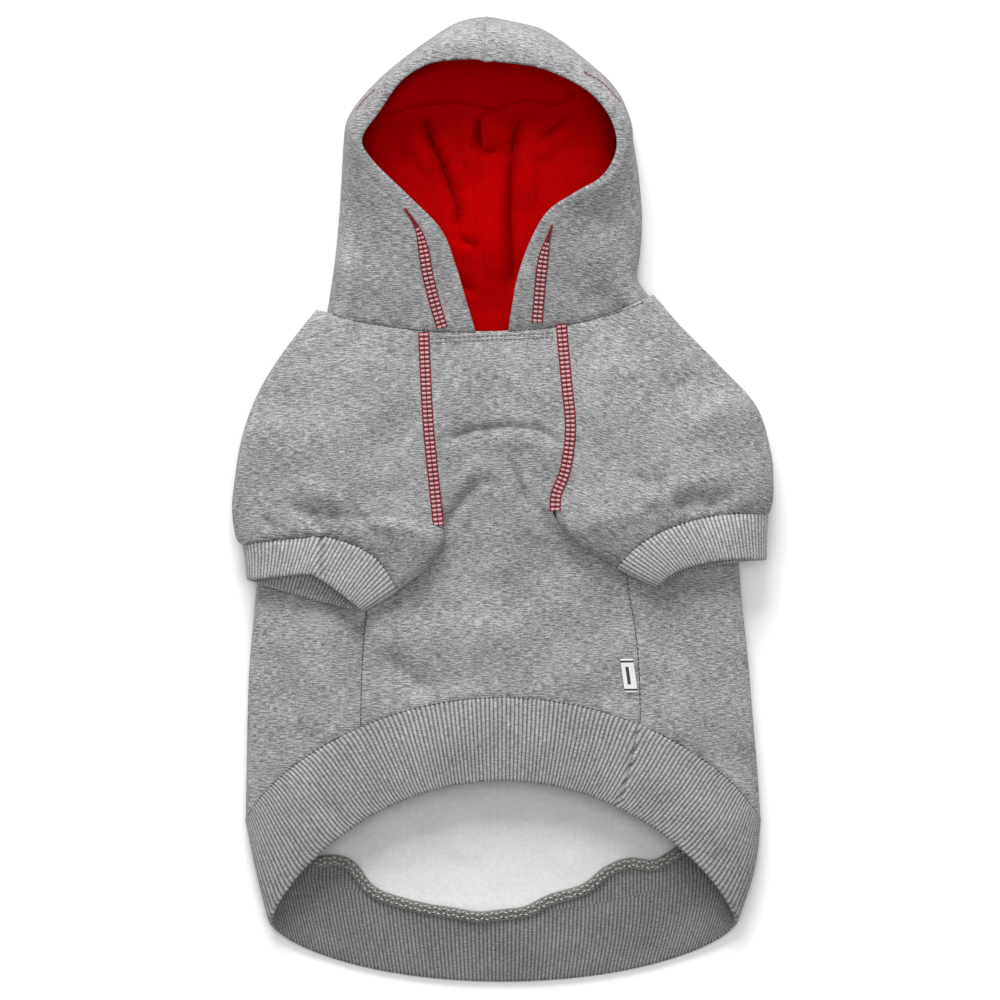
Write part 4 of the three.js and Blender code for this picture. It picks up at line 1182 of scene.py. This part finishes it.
RAGLAN = {
    -1: [(-39, -1.5), (-38, -25), (-36.5, -50), (-34, -75), (-31.5, -99)],
    1: [(29.5, 2.5), (32, -25), (34, -45), (33.5, -58), (31, -72), (27, -82), (26.5, -91)],
}
HOOD_RAIL = {
    -1: [(-48.5, 60), (-41, 47.5), (-36.5, 25), (-32, 8), (-29.5, 0)],
    1: [(25, 52), (20.5, 35), (18, 10), (17.5, 2.5)],
}


def coverstitch():
    """A flat seam of three thread lines with short rungs between them, 6 mm wide."""
    rails, rungs, bars = [], [], []
    for line, taper in [(RAGLAN[s], 0) for s in (-1, 1)] + [(HOOD_RAIL[s], 1) for s in (-1, 1)]:
        path = resample(line, 2.25)
        left = sideways(path)
        share = np.linspace(0, 1, len(path))
        half = COVER_HALF * (mix(0.08, 1.0, smooth(share * 2.3)) if taper else np.ones_like(share))
        rows = [on_cloth(path + left * (half * k)[:, None], 0.25) for k in (-1, 0, 1)]
        high = evened(np.max([row[:, 2] for row in rows], 0), 7)
        for row in rows:
            row[:, 2] = np.clip(row[:, 2], high - 0.5, high + 0.3)
            for a, b in zip(row[:-1], row[1:]):
                rails.append(sunk(mix(a, b, 0.04), mix(a, b, 0.96), 0.32, 0.3))
        for low, high in zip(rows[:-1], rows[1:]):
            for a, b, c, d, wide in zip(low[:-1], low[1:], high[:-1], high[1:], half):
                if wide < 0.9:
                    continue
                first, last = mix(a, b, 0.5), mix(c, d, 0.5)
                rungs.append(sunk(mix(first, last, 0.08), mix(first, last, 0.92), 0.12, 0.1))
                bars.append(sunk(mix(a, b, 0.02), mix(c, d, 0.02), 0.42, 0.0))
    sizes = [0.4] * len(rails) + [0.27] * len(bars)
    rails = tubes("cover_rails", rails + bars, sizes, RED_THREAD)
    return rails, tubes("cover_rungs", rungs, 0.68, PINK_THREAD)


def running(path, pitch, length, lift, wobble=0.0, seed=0, tree=None):
    """Separate short stitches along a path."""
    points = resample(path, pitch)
    turn = np.random.default_rng(seed).normal(0, wobble, len(points))[:, None]
    d = unit(np.gradient(points, axis=0)) * np.cos(turn) + sideways(points) * np.sin(turn)
    starts, ends = (on_cloth(points + d * k * length / 2, lift, tree) for k in (-1, 1))
    return [sunk(a, b, 0.22, 0.25) for a, b in zip(starts, ends)]


NECK_ROWS = [(-35, -4.4), (-20, -3.7), (-5, -3), (9, -2.6), (20, -1.9), (26.5, -1.2)]
HOOD_DASHES = {
    -1: [(-72, 109.5), (-68, 114.5), (-63, 119)],
    1: [(41.5, 127), (50, 122), (59, 112.5)],
}


def small_stitches():
    neck = []
    for shift in (0.0, -2.1):
        path = [(x, y + shift) for x, y in NECK_ROWS]
        neck += running(path, 2.3, 1.5, 0.12, 0.12, 3)
    grey = tubes("neck_stitches", neck, 0.3, GREY_THREAD)
    seam = running([(67.3, -201), (63.5, -219), (59, -236)], 2.6, 1.9, 0.2, 0.1, 5)
    join = tubes("hem_join_stitches", seam, 0.21, OVERLOCK)
    dashes = []
    for side in (-1, 1):
        dashes += running(HOOD_DASHES[side], 2.4, 1.9, 0.1, 0.1, 7)
    red = tubes("hood_dashes", dashes, 0.3, RED_THREAD)
    return grey, join, red


def overlock():
    """The seam allowance inside the hem: a soft ridge bound with dark thread and two lines of white chain."""
    pitch = 0.8
    path = resample(RIDGE_LINE, pitch)
    left = sideways(path)
    n = len(path)
    at = np.arange(n) * pitch
    path = path + left * (0.8 * np.sin(at / 9.0) + 0.6 * np.sin(at / 4.3 + 1.0))[:, None] * 0.6
    ends = smooth(np.minimum(at, at[-1] - at) / 14)
    base = evened(on_cloth(path, 0.0, tree_of([CLOTH["back_cloth"], CLOTH["hem_rib"]]), 12.0)[:, 2], 9)
    tilt = 0.35 + 0.25 * np.sin(at / 13.0)
    rows = []
    for a in np.linspace(-2.3, 2.3, 9):
        crown = (0.6 + 0.5 * np.sin(at / 6.1) ** 2) * (1 - (a / 2.5) ** 2) + tilt * (a + 2.3) * 0.35
        z = base + mix(0.9, 1.0 + crown, ends)
        rows.append(np.concatenate([path + left * a, z[:, None]], 1))
    grid = np.array(rows)
    uv = np.stack([arc(grid, 1), arc(grid, 0)], -1)
    core = shell("overlock_ridge", grid, uv, (TAPE, TAPE), 1.1, rounded=(True, True))
    wraps, chain = [], []
    k = np.arange(9)
    for i in range(2, n - 3, 2):
        line = grid[k, i + (k if (i // 2) % 2 else 8 - k) // 4]
        line[:, 2] += 0.62
        line[[0, -1], 2] -= 0.7
        wraps.append(line)
    for k in (2, 6):
        for i in range(3, n - 4, 3):
            a, b = grid[k, [i, i + 2]] + np.array([0, 0, 0.85])
            b[:2] += left[i] * (0.5 if (i // 3) % 2 else -0.5)
            chain.append(sunk(a, b, 0.35, 0.35, 4))
    return core, tubes("overlock_wraps", wraps, 0.36, OVERLOCK), tubes("overlock_chain", chain, 0.3, CHAIN)


def woven_label():
    wide, tall = LABEL_SIZE
    lean = math.radians(-9)
    u, v = np.linspace(0, 1, 12)[None, :], np.linspace(-0.5, 0.5, 24)[:, None]
    x = 66.4 - u * wide + v * tall * math.sin(lean) * 0.9
    plan = np.stack([x, -172.5 + v * tall * math.cos(lean) + 0 * u], -1)
    flat = on_cloth(plan.reshape(-1, 2), 0.55).reshape(*x.shape, 3)
    middle = flat[..., 2].mean(0, keepdims=True)
    flat[..., 2] = mix(flat[..., 2], middle, 0.6) + 0.9 * u**1.5 + 0.5 * u * (2 * v) ** 2
    uv = np.stack(np.broadcast_arrays((u - 0.5) * wide, v * tall), -1)
    return shell("side_label_tab", flat, uv, (LABEL, LABEL), 0.45, rounded=(True, True))


def painted_seam_shadows():
    """Painted shadow: short near-black dashes sunk in each seam's groove, standing for the shade of the seam.
    """
    stitches = []
    for line, tree in seam_lines():
        stitches += running(line, 2.5, 2.35, -0.12, tree=tree)
    return tubes("painted_seam_shadows", stitches, 0.3, SEAM_SHADOW_PAINT)


COVER = coverstitch()
SMALL = [*small_stitches(), painted_seam_shadows()]
EDGE = overlock()
TAB = woven_label()


# ---- floor, light and camera ----


def make_stage():
    mesh = bpy.data.meshes.new("floor")
    corners = [(x * FLOOR_SIZE, y * FLOOR_SIZE, FLOOR_Z) for x, y in ((-1, -1), (1, -1), (1, 1), (-1, 1))]
    mesh.from_pydata(corners, [], [(0, 1, 2, 3)])
    floor = placed("floor", mesh)
    paint = Paint("pale_floor", roughness=0.8, specular=0.1)
    paint.colour((0.9, 0.9, 0.9))
    mesh.materials.append(paint.mat)
    world = bpy.data.worlds.new("studio")
    bpy.context.scene.world = world
    world.use_nodes = True
    back = world.node_tree.nodes["Background"]
    back.inputs[0].default_value = (1, 1, 1, 1)
    back.inputs[1].default_value = 0.5
    for name, place, size, power in (
        ("north_softbox", (-0.4, 2.5, 1.7), 1.5, 100.0),
        ("overhead_softbox", (0.2, 0.2, 3.0), 1.6, 30.0),
    ):
        light = bpy.data.lights.new(name, "AREA")
        light.shape = "SQUARE"
        light.size = size
        light.energy = power
        ob = placed(name, light)
        ob.location = place
        ob.rotation_euler = (-Vector(place)).to_track_quat("-Z", "Y").to_euler()
    cam = bpy.data.cameras.new("camera")
    cam.sensor_width = 36
    cam.lens = 432
    cam.clip_end = 40
    cam.dof.use_dof = False
    ob = placed("camera", cam)
    ob.location = (-0.00142, -0.00195, 6.0)
    bpy.context.scene.camera = ob
    bpy.context.scene.view_settings.view_transform = "Standard"
    bpy.context.scene.view_settings.look = "None"


make_stage()


# ---- what each piece stands for ----

for ob in [*CLOTH.values(), *COVER, *SMALL, *EDGE, TAB]:
    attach(ob, "root")

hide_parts("back_panel")
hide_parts("belly_panel")
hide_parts("hem_band")
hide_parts("hem_seam")
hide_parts("side_label")
for word in ("left", "right"):
    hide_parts(f"sleeve_{word}")
    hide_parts(f"cuff_{word}")
    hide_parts(f"hood_{word}")
    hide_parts(f"hood_lining_{word}")
